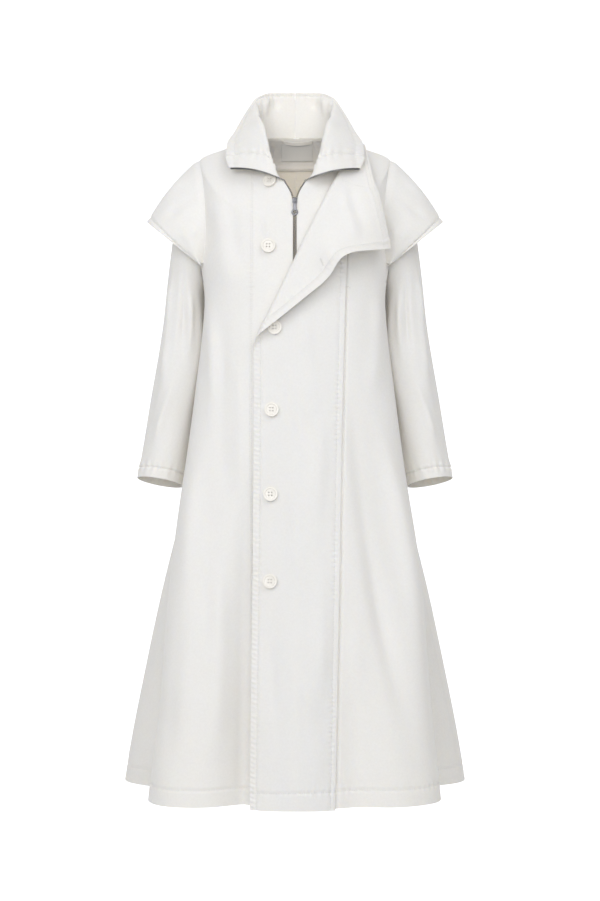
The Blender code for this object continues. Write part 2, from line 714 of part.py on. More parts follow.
for side, name in ((-1, "right"), (1, "left")):
    cloth(f"front_{name}", 15, 24, front_place(side), WALL, cotton)
    cloth(f"back_{name}", 12, 24, back_place(side), WALL, cotton)
    cloth(f"collar_{name}", 16, 7, collar_place(side), WALL, cotton)
    cloth(f"sleeve_{name}", 20, 14, sleeve_place(side), WALL, cotton, closed=True, flip=side < 0)
    cloth(f"cape_{name}", 16, 5, cape_place(side), CAPE_WALL, cotton)
    cloth(f"zip_row_{name}", 1, ZIP_ROWS, zip_place(side), ZIP_ROW_WALL, metal)

cloth("overlap_panel", 18, 32, overlap_place, WALL, cotton)
cloth("neck_facing", 16, 4, facing_place, FACING_WALL, cotton)
cloth("neck_label", 6, 2, label_place, LABEL_WALL, tape)
cloth("hanger_loop", 10, 1, loop_place, FACING_WALL, cotton)

# Buttons: a raised rim round a shallow dish with four through holes
rim_in = BUTTON_RADIUS - BUTTON_RIM
profile = (
    (0.0, 0.0),
    (BUTTON_RADIUS - 0.0020, 0.0),
    (BUTTON_RADIUS, 0.0016),
    (BUTTON_RADIUS - 0.0008, BUTTON_HEIGHT - 0.0004),
    (BUTTON_RADIUS - 0.0018, BUTTON_HEIGHT),
    (rim_in, BUTTON_HEIGHT - 0.0006),
    (rim_in - 0.0010, BUTTON_HEIGHT - BUTTON_DISH),
    (0.0, BUTTON_HEIGHT - BUTTON_DISH),
)
holes = [
    rod_maker(BUTTON_HOLE_RADIUS, 0.02, (a * BUTTON_HOLE_REACH, b * BUTTON_HOLE_REACH, 0.0), False, 6)
    for a in (-1, 1)
    for b in (-1, 1)
]
for row in BUTTONS:
    spot = dict(zip(BUTTON_COLUMNS, row))
    button = combine(turned(f"button_{spot['number']}", profile, 20, plastic), holes, "DIFFERENCE")
    x = np.array((spot["x"], spot["x"] + 0.004, spot["x"]))
    z = np.array((spot["z"], spot["z"], spot["z"] + 0.004))
    if spot["on_overlap"]:
        base, right, above = overlap_point(x, z)
    else:
        base, right, above = body(*front_at(x, z))
    facing = unit(np.cross(right - base, above - base))
    set_on(button, base + (SEAM_GAP + 0.0006) * facing, facing)

# Zip slider: a front plate over the rows, with a bail the pull tab's crossbar turns in
middle = body(np.array(0.0), np.array(SLIDER_LEVEL))
plate_y = middle[1] - 0.0008 - 0.5 * SLIDER_SIZE[1]
bm = bmesh.new()
box_maker(SLIDER_SIZE, (0.0, plate_y, middle[2]))(bm)
upright = [edge for edge in bm.edges if abs(edge.verts[0].co.y - edge.verts[1].co.y) > 0.001]
bmesh.ops.bevel(bm, geom=upright, offset=SLIDER_RADIUS, segments=3, affect="EDGES")
slider_mesh = bpy.data.meshes.new("zip_slider")
bm.to_mesh(slider_mesh)
bm.free()
slider = add_object("zip_slider", slider_mesh, metal)
front_y = plate_y - 0.5 * SLIDER_SIZE[1]
bail_y = front_y - 0.5 * BAIL_SIZE[1] + 0.0002
bail = (BAIL_SIZE[0], BAIL_SIZE[1] + 0.0004, BAIL_SIZE[2])
combine(slider, [box_maker(bail, (0.0, bail_y, middle[2]))], "UNION")
window = (0.01, BAIL_SIZE[1] - BAIL_BAR, BAIL_SIZE[2] - 2 * BAIL_BAR)
combine(slider, [box_maker(window, (0.0, front_y - 0.5 * window[1], middle[2]))], "DIFFERENCE")

# Pull tab: a crossbar behind the bail, a narrow plate and a round end with an eye
pivot = np.array((0.0, front_y - TAB_PIVOT_OUT, middle[2]))
low_z = -TAB_LENGTH + TAB_END_RADIUS
bm = bmesh.new()
top_z = 0.5 * TAB_CROSSBAR
box_maker((2 * TAB_HALF_WIDTH, TAB_WALL, top_z - low_z), (0, 0, 0.5 * (low_z + top_z)))(bm)
tab_mesh = bpy.data.meshes.new("pull_tab")
bm.to_mesh(tab_mesh)
bm.free()
tab = add_object("pull_tab", tab_mesh, metal)
slot_middle = -0.5 * TAB_CROSSBAR - 0.5 * (TAB_SLOT[1] - 0.5 * TAB_CROSSBAR)
combine(tab, [rod_maker(TAB_END_RADIUS, TAB_WALL, (0, 0, low_z), True, 20)], "UNION")
combine(tab, [rod_maker(TAB_EYE_RADIUS, 0.02, (0, 0, low_z), True, 14)], "DIFFERENCE")
combine(
    tab,
    [box_maker((TAB_SLOT[0], 0.02, TAB_SLOT[1] - 0.5 * TAB_CROSSBAR), (0, 0, slot_middle))],
    "DIFFERENCE",
)
tab.location = pivot
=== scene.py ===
"""The looks of a long ivory raincoat with shoulder capes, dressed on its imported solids.

Metres, +Z up, the front faces -Y and the wearer's left is +X. The coat is put together in the order
of the sections: fronts, backs, inside neck, collar, zip, sleeves, capes, front overlap, buttons.
"""

import math

import bpy
import numpy as np
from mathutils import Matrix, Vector


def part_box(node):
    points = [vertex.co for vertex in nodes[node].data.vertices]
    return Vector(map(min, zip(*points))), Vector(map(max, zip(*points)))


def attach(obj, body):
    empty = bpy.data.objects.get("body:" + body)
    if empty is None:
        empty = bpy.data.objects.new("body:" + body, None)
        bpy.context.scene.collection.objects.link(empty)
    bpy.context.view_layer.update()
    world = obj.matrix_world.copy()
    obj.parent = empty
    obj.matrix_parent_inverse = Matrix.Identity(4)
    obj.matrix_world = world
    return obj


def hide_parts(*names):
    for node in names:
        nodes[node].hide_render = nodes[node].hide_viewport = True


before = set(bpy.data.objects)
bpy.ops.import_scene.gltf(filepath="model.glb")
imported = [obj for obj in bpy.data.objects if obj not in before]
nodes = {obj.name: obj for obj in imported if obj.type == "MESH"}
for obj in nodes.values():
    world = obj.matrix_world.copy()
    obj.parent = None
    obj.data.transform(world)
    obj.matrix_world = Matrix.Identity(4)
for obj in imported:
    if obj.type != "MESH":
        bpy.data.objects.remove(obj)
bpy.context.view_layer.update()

# Backdrop, light and camera
# A white paper sweep far behind and below the coat, soft boxes at the upper left, the upper right and in
# front, a small one in the throat, and a camera level with the middle of the coat.
FLOOR_Z = -3.6
SWEEP_SIZE = 24.0
SWEEP_BACK_Y = 7.0
SWEEP_ROUND = 2.0
SWEEP_RISE = 0.6
CAMERA_PLACE = (0.0095, -3.4, -0.6025)
PHOTO_TALL_AT_COAT = 1.7119


def linear(colour):
    """A colour given as sRGB hex, in linear light."""
    parts = [int(colour[i:i + 2], 16) / 255 for i in (0, 2, 4)]
    parts = [p / 12.92 if p <= 0.04045 else ((p + 0.055) / 1.055) ** 2.4 for p in parts]
    return (*parts, 1.0)


def add(tree, kind, settings, links=None):
    """Adds a node with its settings and links; a setting that names a socket is its value."""
    made = tree.nodes.new(kind)
    for name, value in settings.items():
        if name in made.inputs:
            made.inputs[name].default_value = value
        else:
            setattr(made, name, value)
    for name, source in (links or {}).items():
        tree.links.new(source, made.inputs[name])
    return made


def new_material(name, settings):
    """A Principled material with these constant values; returns it, its tree and its shader."""
    made = bpy.data.materials.new(name)
    made.use_nodes = True
    tree = made.node_tree
    shader = tree.nodes["Principled BSDF"]
    for key, value in settings.items():
        shader.inputs[key].default_value = value
    return made, tree, shader


bpy.ops.object.select_all(action="DESELECT")
bpy.ops.mesh.primitive_plane_add(size=SWEEP_SIZE, location=(0, SWEEP_BACK_Y - SWEEP_SIZE / 2, FLOOR_Z))
sweep = bpy.context.object
sweep.name = "paper_sweep"
bpy.ops.object.transform_apply(location=True, rotation=True, scale=True)
bpy.ops.object.mode_set(mode="EDIT")
bpy.ops.mesh.select_all(action="DESELECT")
bpy.ops.object.mode_set(mode="OBJECT")
for edge in sweep.data.edges:
    ends = [sweep.data.vertices[i].co.y for i in edge.vertices]
    edge.select = min(ends) > SWEEP_BACK_Y - 0.01
bpy.ops.object.mode_set(mode="EDIT")
bpy.ops.mesh.select_mode(type="EDGE")
bpy.ops.mesh.extrude_region_move(TRANSFORM_OT_translate={"value": (0, 0, SWEEP_SIZE * SWEEP_RISE)})
bpy.ops.object.mode_set(mode="OBJECT")
fold = sweep.modifiers.new("Round", "BEVEL")
fold.width = SWEEP_ROUND
fold.segments = 20
bpy.ops.object.modifier_apply(modifier=fold.name)
bpy.ops.object.shade_smooth()
paper = {"Base Color": linear("F2F2F1"), "Roughness": 0.9}
glow = {"Emission Color": (1.0, 1.0, 1.0, 1.0), "Emission Strength": 0.80}
for name, settings in (("floor_paper", paper), ("lit_paper", {**paper, **glow})):
    sweep.data.materials.append(new_material(name, settings)[0])
for face in sweep.data.polygons:
    face.material_index = int(face.center.y > SWEEP_BACK_Y - SWEEP_ROUND)


def soft_box(name, place, aim, size, watts, colour, spread=180.0):
    bpy.ops.object.light_add(type="AREA", location=place)
    lamp = bpy.context.object
    lamp.name = name
    lamp.data.shape = "RECTANGLE"
    lamp.data.size = size[0]
    lamp.data.size_y = size[1]
    lamp.data.energy = watts
    lamp.data.color = linear(colour)[:3]
    lamp.data.spread = math.radians(spread)
    lamp.rotation_euler = (Vector(aim) - Vector(place)).to_track_quat("-Z", "Y").to_euler()


soft_box("key_box", (-1.9, -2.8, 1.5), (0.0, 0.0, -0.65), (2.4, 2.6), 45.0, "F8FAFF")
soft_box("top_box", (1.7, -2.2, 2.5), (0.0, 0.0, -0.5), (2.2, 2.2), 36.0, "FBFCFF")
soft_box("front_box", (0.0, -3.9, -0.1), (0.0, 0.0, -0.5), (2.2, 2.2), 44.0, "F8FAFF")
# A 50 mm box in the throat, for the inside of the neck, which the large boxes leave too dark
soft_box("neck_box", (0.0, -0.085, 0.0), (0.012, 0.07, -0.105), (0.05, 0.05), 0.022, "FFEFD8", 64.0)
world = bpy.data.worlds.new("studio")
bpy.context.scene.world = world
world.use_nodes = True
ambient = world.node_tree.nodes["Background"]
ambient.inputs["Color"].default_value = linear("FAFBFF")
ambient.inputs["Strength"].default_value = 0.43

bpy.ops.object.camera_add(location=CAMERA_PLACE, rotation=(math.radians(90), 0, 0))
camera = bpy.context.object
camera.data.sensor_fit = "VERTICAL"
camera.data.sensor_height = 36.0
camera.data.lens = 36.0 * -CAMERA_PLACE[1] / PHOTO_TALL_AT_COAT
bpy.context.scene.camera = camera
bpy.context.scene.view_settings.view_transform = "Standard"

# Fronts
# The right and left front, each cut in one from the neck to the hem in washed ivory cotton twill and
# sewn to the back at the shoulder and the side; a stitched line holds the zip's facing behind the right.
WALL = 0.0015
SEAM_GAP = 0.00004
SHOULDER_LEVEL = 0.090
UNDERARM_LEVEL = 0.285
HEM_LEVEL = 1.233
SIDE_SEAM = 88.0
ARMHOLE_FRONT = 63.0
ARMHOLE_BACK = 119.0
ARMHOLE_SQUARE = 0.8
SLEEVE_INSET = 0.0062
DROP_POWER = 1.3
HEM_TURNED = 0.030
FACING_LINE = (-0.0797, -0.0832)
FACING_LINE_GAP = 0.0028
FACING_RIDGE = (0.0014, 0.0014, 0.0045)
FACING_VALLEY = (0.0020, -0.012, 0.010)
SEWN_EDGE_HEIGHTS = (-1.236, -0.255)
SEWN_EDGE_ACROSS = (0.0726, 0.0947)
SEWN_EDGE_DIP = (0.0042, 0.0008, 0.0021)
HEM_REACH = 0.30
SIDES = ((-1, "right"), (1, "left"))
# Rings of the body by level down the back: half the width, then the side, front and back points
BODY_COLUMNS = (
    "level", "half_width", "side_y", "side_z", "front_y", "front_z", "back_y", "back_z", "round",
)
BODY_RINGS = (
    (0.000, 0.078, -0.010, -0.008, -0.135, -0.115, 0.055, 0.000, 1.00),
    (0.045, 0.128, -0.002, -0.028, -0.139, -0.150, 0.083, -0.040, 0.95),
    (0.090, 0.181, 0.006, -0.052, -0.143, -0.185, 0.100, -0.085, 0.85),
    (0.190, 0.185, 0.008, -0.170, -0.150, -0.245, 0.116, -0.180, 0.78),
    (0.300, 0.186, 0.008, -0.300, -0.158, -0.320, 0.122, -0.300, 0.74),
    (0.500, 0.204, 0.010, -0.500, -0.172, -0.505, 0.135, -0.500, 0.74),
    (0.680, 0.226, 0.012, -0.680, -0.190, -0.682, 0.155, -0.680, 0.76),
    (0.860, 0.252, 0.015, -0.860, -0.214, -0.860, 0.185, -0.860, 0.80),
    (1.050, 0.275, 0.018, -1.050, -0.240, -1.050, 0.215, -1.050, 0.82),
    (1.233, 0.302, 0.020, -1.233, -0.262, -1.233, 0.250, -1.233, 0.85),
)
# Large folds down the coat, by degrees round from the centre front
FOLD_COLUMNS = ("side", "start", "full", "start_angle", "full_angle", "spread", "out")
FOLDS = (
    (0, 0.210, 0.340, 94.0, 91.0, 21.0, -0.035),
    (0, 0.300, 1.233, 58.0, 42.0, 15.0, 0.036),
    (0, 0.600, 1.233, 82.0, 73.0, 11.0, -0.032),
    (0, 0.400, 1.200, 96.0, 92.0, 12.0, 0.061),
    (0, 0.600, 1.233, 130.0, 130.0, 12.0, -0.028),
    (0, 0.500, 1.233, 154.0, 154.0, 13.0, 0.026),
    (-1, 0.500, 1.233, 15.5, 16.0, 7.5, -0.040),
    (1, 0.800, 1.233, 19.0, 19.0, 8.0, -0.014),
    (1, 0.480, 0.800, 24.0, 40.0, 9.0, -0.010),
    (1, 0.450, 0.950, 78.0, 74.0, 8.0, -0.024),
)
# The open front above the zip slider: half the opening at each level
OPENING_LEVELS = (0.000, 0.010, 0.022, 0.035, 0.048, 1.233)
OPENING_HALVES = (0.0205, 0.0140, 0.0085, 0.0052, 0.0036, 0.0036)
# Soft creases on each front, seen from the front: where each starts and ends, its width and depth
CREASE_COLUMNS = ("from_x", "from_z", "to_x", "to_z", "width", "out")
RIGHT_FRONT_CREASES = (
    (-0.150, -0.120, -0.120, -0.330, 0.022, 0.0053),
    (-0.122, -0.105, -0.098, -0.300, 0.014, -0.0033),
    (-0.160, -0.300, -0.150, -0.620, 0.014, 0.0067),
    (-0.135, -0.360, -0.118, -0.720, 0.016, -0.0053),
    (-0.105, -0.420, -0.100, -0.800, 0.013, 0.0045),
    (-0.170, -0.560, -0.190, -1.000, 0.020, 0.0075),
    (-0.140, -0.780, -0.150, -1.180, 0.016, 0.0060),
    (-0.205, -0.880, -0.228, -1.225, 0.022, -0.0060),
    (-0.066, -0.150, -0.060, -0.310, 0.008, -0.0021),
    (-0.030, -0.130, -0.058, -0.210, 0.009, 0.0018),
)
LEFT_FRONT_CREASES = (
    (0.150, -0.290, 0.140, -0.520, 0.013, 0.0050),
    (0.098, -0.480, 0.228, -1.200, 0.017, -0.0085),
    (0.135, -0.480, 0.252, -1.120, 0.018, 0.0060),
    (0.105, -0.860, 0.150, -1.225, 0.020, 0.0040),
    (0.150, -0.080, 0.135, -0.200, 0.012, 0.0035),
)


def spline(at, values, where):
    """A smooth curve through the values that doesn't overshoot them."""
    at = np.asarray(at, float)
    values = np.asarray(values, float)
    step = np.diff(at)
    rise = np.diff(values) / step
    slope = np.empty_like(values)
    slope[0] = rise[0]
    slope[-1] = rise[-1]
    same = rise[:-1] * rise[1:] > 0
    total = np.where(same, rise[:-1] + rise[1:], 1.0)
    slope[1:-1] = np.where(same, 2 * rise[:-1] * rise[1:] / total, 0.0)
    where = np.clip(where, at[0], at[-1])
    i = np.clip(np.searchsorted(at, where) - 1, 0, len(step) - 1)
    t = (where - at[i]) / step[i]
    start = values[i] * (1 + 2 * t) * (1 - t) ** 2 + slope[i] * step[i] * t * (1 - t) ** 2
    end = values[i + 1] * t * t * (3 - 2 * t) + slope[i + 1] * step[i] * t * t * (t - 1)
    return start + end


def read_table(table, columns, where):
    """Every other column of a table, read as smooth curves along its first column."""
    rows = np.array(table, float)
    return {name: spline(rows[:, 0], rows[:, i], where) for i, name in enumerate(columns) if i}


def smooth(t):
    t = np.clip(t, 0.0, 1.0)
    return t * t * (3 - 2 * t)


def unit(vectors):
    return vectors / np.maximum(np.linalg.norm(vectors, axis=-1, keepdims=True), 1e-12)


def fold_out(side, turn, level):
    """How far the large folds push the cloth out."""
    out = np.zeros_like(turn)
    for row in FOLDS:
        fold = dict(zip(FOLD_COLUMNS, row))
        grown = smooth((level - fold["start"]) / (fold["full"] - fold["start"]))
        angle = fold["start_angle"] + (fold["full_angle"] - fold["start_angle"]) * grown
        here = np.where(fold["side"] == 0, 1.0, fold["side"] == side)
        out = out + here * fold["out"] * grown * np.exp(-(((turn - angle) / fold["spread"]) ** 2))
    return out


def body(angle, level, fold_share=1.0):
    """A point of the coat's body: degrees round from the centre front, + to the wearer's left."""
    angle, level = np.broadcast_arrays(np.asarray(angle, float), np.asarray(level, float))
    angle = (angle + 180.0) % 360.0 - 180.0
    side = np.where(angle < 0, -1.0, 1.0)
    turn = np.abs(angle)
    ring = read_table(BODY_RINGS, BODY_COLUMNS, level)
    sine = np.clip(np.sin(np.radians(turn)), 0.0, 1.0)
    cosine = np.cos(np.radians(turn))
    reach = np.abs(cosine)
    end_y = np.where(cosine > 0, ring["front_y"], ring["back_y"])
    end_z = np.where(cosine > 0, ring["front_z"], ring["back_z"])
    out = fold_share * fold_out(side, turn, level)
    x = ring["half_width"] * sine ** ring["round"] + out * sine
    y = ring["side_y"] + (end_y - ring["side_y"]) * reach ** ring["round"] - out * cosine
    z = ring["side_z"] + (end_z - ring["side_z"]) * reach ** DROP_POWER
    return np.stack((side * x, y, z), -1)


def body_normal(angle, level, fold_share=1.0):
    """The outward direction of the body's cloth."""
    level = np.asarray(level, float)
    high = np.clip(level - 0.004, 0.0, HEM_LEVEL)
    low = np.clip(level + 0.004, 0.0, HEM_LEVEL)
    round_it = body(angle + 0.6, level, fold_share) - body(angle - 0.6, level, fold_share)
    up = body(angle, high, fold_share) - body(angle, low, fold_share)
    return unit(np.cross(round_it, up))


def angle_at(x, level):
    """The degrees round, on the front, at which the body is x across."""
    ring = read_table(BODY_RINGS, BODY_COLUMNS, level)
    share = np.clip(np.abs(x) / ring["half_width"], 0.0, 1.0)
    return np.sign(x) * np.degrees(np.arcsin(share ** (1 / ring["round"])))


def front_at(x, z):
    """The angle and level of the front at a place seen from the front."""
    levels = np.linspace(0.0, HEM_LEVEL, 400)
    ring = read_table(BODY_RINGS, BODY_COLUMNS, levels)
    found = np.empty_like(x)
    for i, (across, height) in enumerate(zip(x, z)):
        share = np.clip(np.abs(across) / ring["half_width"], 0.0, 1.0)
        reach = np.sqrt(1 - share ** (2 / ring["round"]))
        heights = ring["side_z"] + (ring["front_z"] - ring["side_z"]) * reach ** DROP_POWER
        found[i] = np.interp(-height, -heights, levels)
    return angle_at(x, found), found


def armhole_spread(level):
    """How open the armhole is at a level, from 0 at its ends to 1."""
    turn = 1 - 2 * (level - SHOULDER_LEVEL) / (UNDERARM_LEVEL - SHOULDER_LEVEL)
    return np.sqrt(np.clip(1 - turn**2, 0.0, 1.0)) ** ARMHOLE_SQUARE


def creases(table, x, z):
    """How far soft creases push the cloth out: each is bowed and uneven along its run."""
    out = np.zeros_like(x)
    for number, row in enumerate(table):
        fold = dict(zip(CREASE_COLUMNS, row))
        run_x = fold["to_x"] - fold["from_x"]
        run_z = fold["to_z"] - fold["from_z"]
        length = math.hypot(run_x, run_z)
        along = ((x - fold["from_x"]) * run_x + (z - fold["from_z"]) * run_z) / length**2
        beside = ((x - fold["from_x"]) * run_z - (z - fold["from_z"]) * run_x) / length
        beside = beside + 0.025 * length * np.sin(math.pi * np.clip(along, 0, 1)) * (-1) ** number
        swell = smooth(along / 0.35) * smooth((1 - along) / 0.45)
        uneven = 1 + 0.35 * np.sin(9.0 * along + 2.1 * number)
        width = fold["width"] * (0.75 + 0.5 * np.clip(along, 0, 1))
        out = out + fold["out"] * swell * uneven * np.exp(-((beside / width) ** 2))
    return out


def swell_at(beside, shape):
    """A rounded ridge along a line: its height, how far beside the line it runs and its half width."""
    height, middle, width = shape
    return height * np.exp(-(((beside - middle) / width) ** 2))


def puckers(beside, run, groove=0.0010, swell=0.0007, pitch=0.011, reach=0.009):
    """Gathers along a stitched line: a groove under the thread and small uneven swells across it."""
    wander = 1.6 * np.sin(run * 37.0 + 0.7) + 0.9 * np.sin(run * 91.0)
    strength = 0.65 + 0.35 * np.sin(run * 23.0 + 1.3)
    wave = strength * np.sin(2 * math.pi * run / pitch + wander)
    return swell * wave * np.exp(-((beside / reach) ** 2)) - groove * np.exp(-((beside / 0.0024) ** 2))


def rope(from_edge, run, wide, swell=0.0008, pitch=0.0086):
    """A turned edge that twists like rope between its fold and its stitches: slanted swells."""
    held = smooth(from_edge / 0.0012) * smooth((wide - from_edge) / 0.0030)
    wander = 0.3 * np.sin(run * 31.0) + 0.2 * np.sin(run * 77.0 + 0.4)
    wave = np.sin(2 * math.pi * (run / pitch + 0.35 * from_edge / wide) + wander)
    return swell * (0.8 + 0.2 * np.sin(run * 19.0)) * held * wave


def lay_cloth(name, shares, rows, place, wall, closed=False):
    """A cloth shell: a grid with these shares across and rows up, moved to its place, walled inward.

    Its UV map is in metres along the cloth, so that weave and stitches keep their size.
    """
    shares = np.asarray(shares, float)
    rows = np.asarray(rows, float)
    bpy.ops.object.select_all(action="DESELECT")
    bpy.ops.mesh.primitive_grid_add(x_subdivisions=len(shares) - 1, y_subdivisions=len(rows) - 1, size=1.0)
    piece = bpy.context.object
    piece.name = name
    piece.data.name = name
    flat = np.empty(len(piece.data.vertices) * 3)
    piece.data.vertices.foreach_get("co", flat)
    flat = flat.reshape(-1, 3)
    i = np.rint((flat[:, 0] - flat[:, 0].min()) / np.ptp(flat[:, 0]) * (len(shares) - 1)).astype(int)
    j = np.rint((flat[:, 1] - flat[:, 1].min()) / np.ptp(flat[:, 1]) * (len(rows) - 1)).astype(int)
    points = place(shares[i], rows[j])
    piece.data.vertices.foreach_set("co", points.ravel())
    grid = np.zeros((len(shares), len(rows), 3))
    grid[i, j] = points
    wide = np.linalg.norm(np.diff(grid, axis=0), axis=2).sum(0).mean()
    tall = np.linalg.norm(np.diff(grid, axis=1), axis=2).sum(1).mean()
    corner = np.empty(len(piece.data.loops), int)
    piece.data.loops.foreach_get("vertex_index", corner)
    reach_u = np.linspace(0, wide, len(shares))[i][corner]
    reach_v = np.linspace(0, tall, len(rows))[j][corner]
    piece.data.uv_layers.active.data.foreach_set("uv", np.stack((reach_u, reach_v), -1).ravel())
    piece.data.update()
    if closed:
        bpy.ops.object.mode_set(mode="EDIT")
        bpy.ops.mesh.select_all(action="SELECT")
        bpy.ops.mesh.remove_doubles(threshold=1e-6)
        bpy.ops.object.mode_set(mode="OBJECT")
    grown = piece.modifiers.new("Wall", "SOLIDIFY")
    grown.thickness = wall
    grown.offset = -1.0
    bpy.ops.object.modifier_apply(modifier=grown.name)
    bpy.ops.object.shade_smooth_by_angle(angle=math.radians(65))
    return piece


def cotton_twill():
    """Washed cotton twill, woven and enzyme-washed: matt, a little uneven in tone, with a faint rib.

    A single layer lets some light through, which warms the folds and the inside of the neck.
    The rib is drawn at 1.6 mm, about three times the real thread spacing, so that it shows at all.
    """
    settings = {"Roughness": 0.82, "IOR": 1.45, "Sheen Weight": 0.12, "Sheen Roughness": 0.5,
                "Subsurface Weight": 0.22, "Subsurface Scale": 0.004, "Subsurface Radius": (1.0, 0.8, 0.5)}
    made, tree, shader = new_material("cotton_twill", settings)
    place = add(tree, "ShaderNodeTexCoord", {})
    cloudy = add(tree, "ShaderNodeTexNoise", {"Scale": 9.0, "Detail": 5.0},
                 {"Vector": place.outputs["Object"]})
    slub = add(tree, "ShaderNodeTexNoise", {"Scale": 260.0, "Detail": 3.0},
               {"Vector": place.outputs["Object"]})
    tones = add(tree, "ShaderNodeMixRGB", {"Color1": linear("F0EDE6"), "Color2": linear("F5F2EC")},
                {"Fac": cloudy.outputs["Fac"]})
    speck = add(tree, "ShaderNodeMixRGB", {"blend_type": "MULTIPLY", "Color2": linear("F7F6F5")},
                {"Fac": slub.outputs["Fac"], "Color1": tones.outputs["Color"]})
    tree.links.new(speck.outputs["Color"], shader.inputs["Base Color"])
    turned = add(tree, "ShaderNodeMapping", {"Rotation": (0, 0, math.radians(32))},
                 {"Vector": place.outputs["UV"]})
    rib = add(tree, "ShaderNodeTexWave", {"Scale": 1 / 0.0016 / (2 * math.pi) * 2, "Distortion": 1.2,
                                          "Detail": 2.0, "Detail Scale": 1.5},
              {"Vector": turned.outputs["Vector"]})
    nap = add(tree, "ShaderNodeMath", {"operation": "ADD"}, {0: rib.outputs["Fac"], 1: slub.outputs["Fac"]})
    weave = add(tree, "ShaderNodeBump", {"Strength": 0.10, "Distance": 0.0008},
                {"Height": nap.outputs["Value"]})
    tree.links.new(weave.outputs["Normal"], shader.inputs["Normal"])
    return made


cotton = cotton_twill()


def sewn_thread():
    """Spun polyester sewing thread, twisted and ivory: slightly brighter and smoother than the twill."""
    settings = {"Roughness": 0.55, "IOR": 1.5}
    made, tree, shader = new_material("sewing_thread", settings)
    place = add(tree, "ShaderNodeTexCoord", {})
    twist = add(tree, "ShaderNodeTexNoise", {"Scale": 900.0, "Detail": 1.0},
                {"Vector": place.outputs["Object"]})
    tones = add(tree, "ShaderNodeMixRGB", {"Color1": linear("DAD8D2"), "Color2": linear("E9E7E2")},
                {"Fac": twist.outputs["Fac"]})
    tree.links.new(tones.outputs["Color"], shader.inputs["Base Color"])
    return made


thread = sewn_thread()
stitch_shapes = []


def run_along(points):
    """How far along a line each of its points lies."""
    return np.concatenate(([0.0], np.cumsum(np.linalg.norm(np.diff(points, axis=0), axis=1))))


def read_along(at, reach, values):
    """Places or directions on a line, at these distances along it."""
    return np.stack([np.interp(at, reach, values[:, k]) for k in range(3)], -1)


def pick(piece):
    """Makes a piece the only one selected, and active."""
    bpy.ops.object.select_all(action="DESELECT")
    bpy.context.view_layer.objects.active = piece
    piece.select_set(True)


def join_shapes(name, shapes, faces, finish):
    """One mesh of many small shapes that share these faces."""
    every = np.arange(len(shapes))[:, None, None] * shapes.shape[1] + np.array(faces)[None]
    mesh = bpy.data.meshes.new(name)
    mesh.from_pydata(shapes.reshape(-1, 3).tolist(), [], every.reshape(-1, 4).tolist())
    mesh.materials.append(finish)
    piece = bpy.data.objects.new(name, mesh)
    bpy.context.scene.collection.objects.link(piece)
    pick(piece)
    bpy.ops.object.mode_set(mode="EDIT")
    bpy.ops.mesh.select_all(action="SELECT")
    bpy.ops.mesh.normals_make_consistent(inside=False)
    bpy.ops.object.mode_set(mode="OBJECT")
    return piece


def sew(points, outward, stitch=0.0034, skip=0.0012, thick=0.0007):
    """Lays thread stitches along a line on the cloth, each a small bar that dips in at both ends."""
    reach = run_along(points)
    starts = np.arange(skip, reach[-1] - stitch, stitch + skip)
    if not len(starts):
        return
    stations = starts[:, None] + stitch * np.array((0.0, 0.22, 0.78, 1.0))
    path = read_along(stations, reach, points)
    up = unit(read_along(stations, reach, outward))
    ahead = unit(path[:, -1:] - path[:, :1])
    aside = unit(np.cross(ahead, up))
    lift = thick * np.array((-0.35, 0.40, 0.40, -0.35))[None, :, None] * up
    ring = []
    for a, b in ((-0.5, 0.0), (0.0, 0.45), (0.5, 0.0), (0.0, -0.45)):
        ring.append(path + lift + thick * (a * aside + b * up))
    stitch_shapes.append(np.stack(ring, 2).reshape(-1, 16, 3))


def join_stitches(name):
    """One joined mesh of all the stitches laid since the last call, riding on the coat."""
    shapes = np.concatenate(stitch_shapes)
    stitch_shapes.clear()
    faces = []
    for station in range(3):
        for k in range(4):
            a = station * 4 + k
            b = station * 4 + (k + 1) % 4
            faces.append((a, b, b + 4, a + 4))
    faces.append((3, 2, 1, 0))
    faces.append((12, 13, 14, 15))
    piece = join_shapes(name, shapes, faces, thread)
    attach(piece, "coat")


def dress(piece, node, finish=None):
    """Gives a cloth shell its finish and body, and hides the imported CAD node it stands for."""
    piece.data.materials.append(finish or cotton)
    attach(piece, "coat")
    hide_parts(node)


def panel_rows():
    """Levels of a panel's rows, from the hem up: closest at the hem and at both ends of the armhole."""
    stretches = ((HEM_LEVEL, 1.180, 22), (1.180, UNDERARM_LEVEL, 140), (UNDERARM_LEVEL, SHOULDER_LEVEL, 52),
                 (SHOULDER_LEVEL, 0.0, 30))
    rows = [np.linspace(start, end, count, endpoint=False) for start, end, count in stretches]
    return np.concatenate(rows + [[0.0]])


def half_gap(angle, level):
    """Half a seam gap as degrees round."""
    reach = np.linalg.norm(body(angle + 0.5, level) - body(angle - 0.5, level), axis=-1)
    return 0.5 * SEAM_GAP / np.maximum(reach, 0.0005)


def front_angle(side, share, level):
    first = angle_at(spline(OPENING_LEVELS, OPENING_HALVES, level), level)
    last = SIDE_SEAM - (SIDE_SEAM - ARMHOLE_FRONT) * armhole_spread(level)
    last = last - half_gap(last, level)
    return side * (first + (last - first) * share)


def facing_line(level):
    """How far across the first stitched line of the right front's facing lies."""
    return FACING_LINE[0] + (FACING_LINE[1] - FACING_LINE[0]) * level / HEM_LEVEL


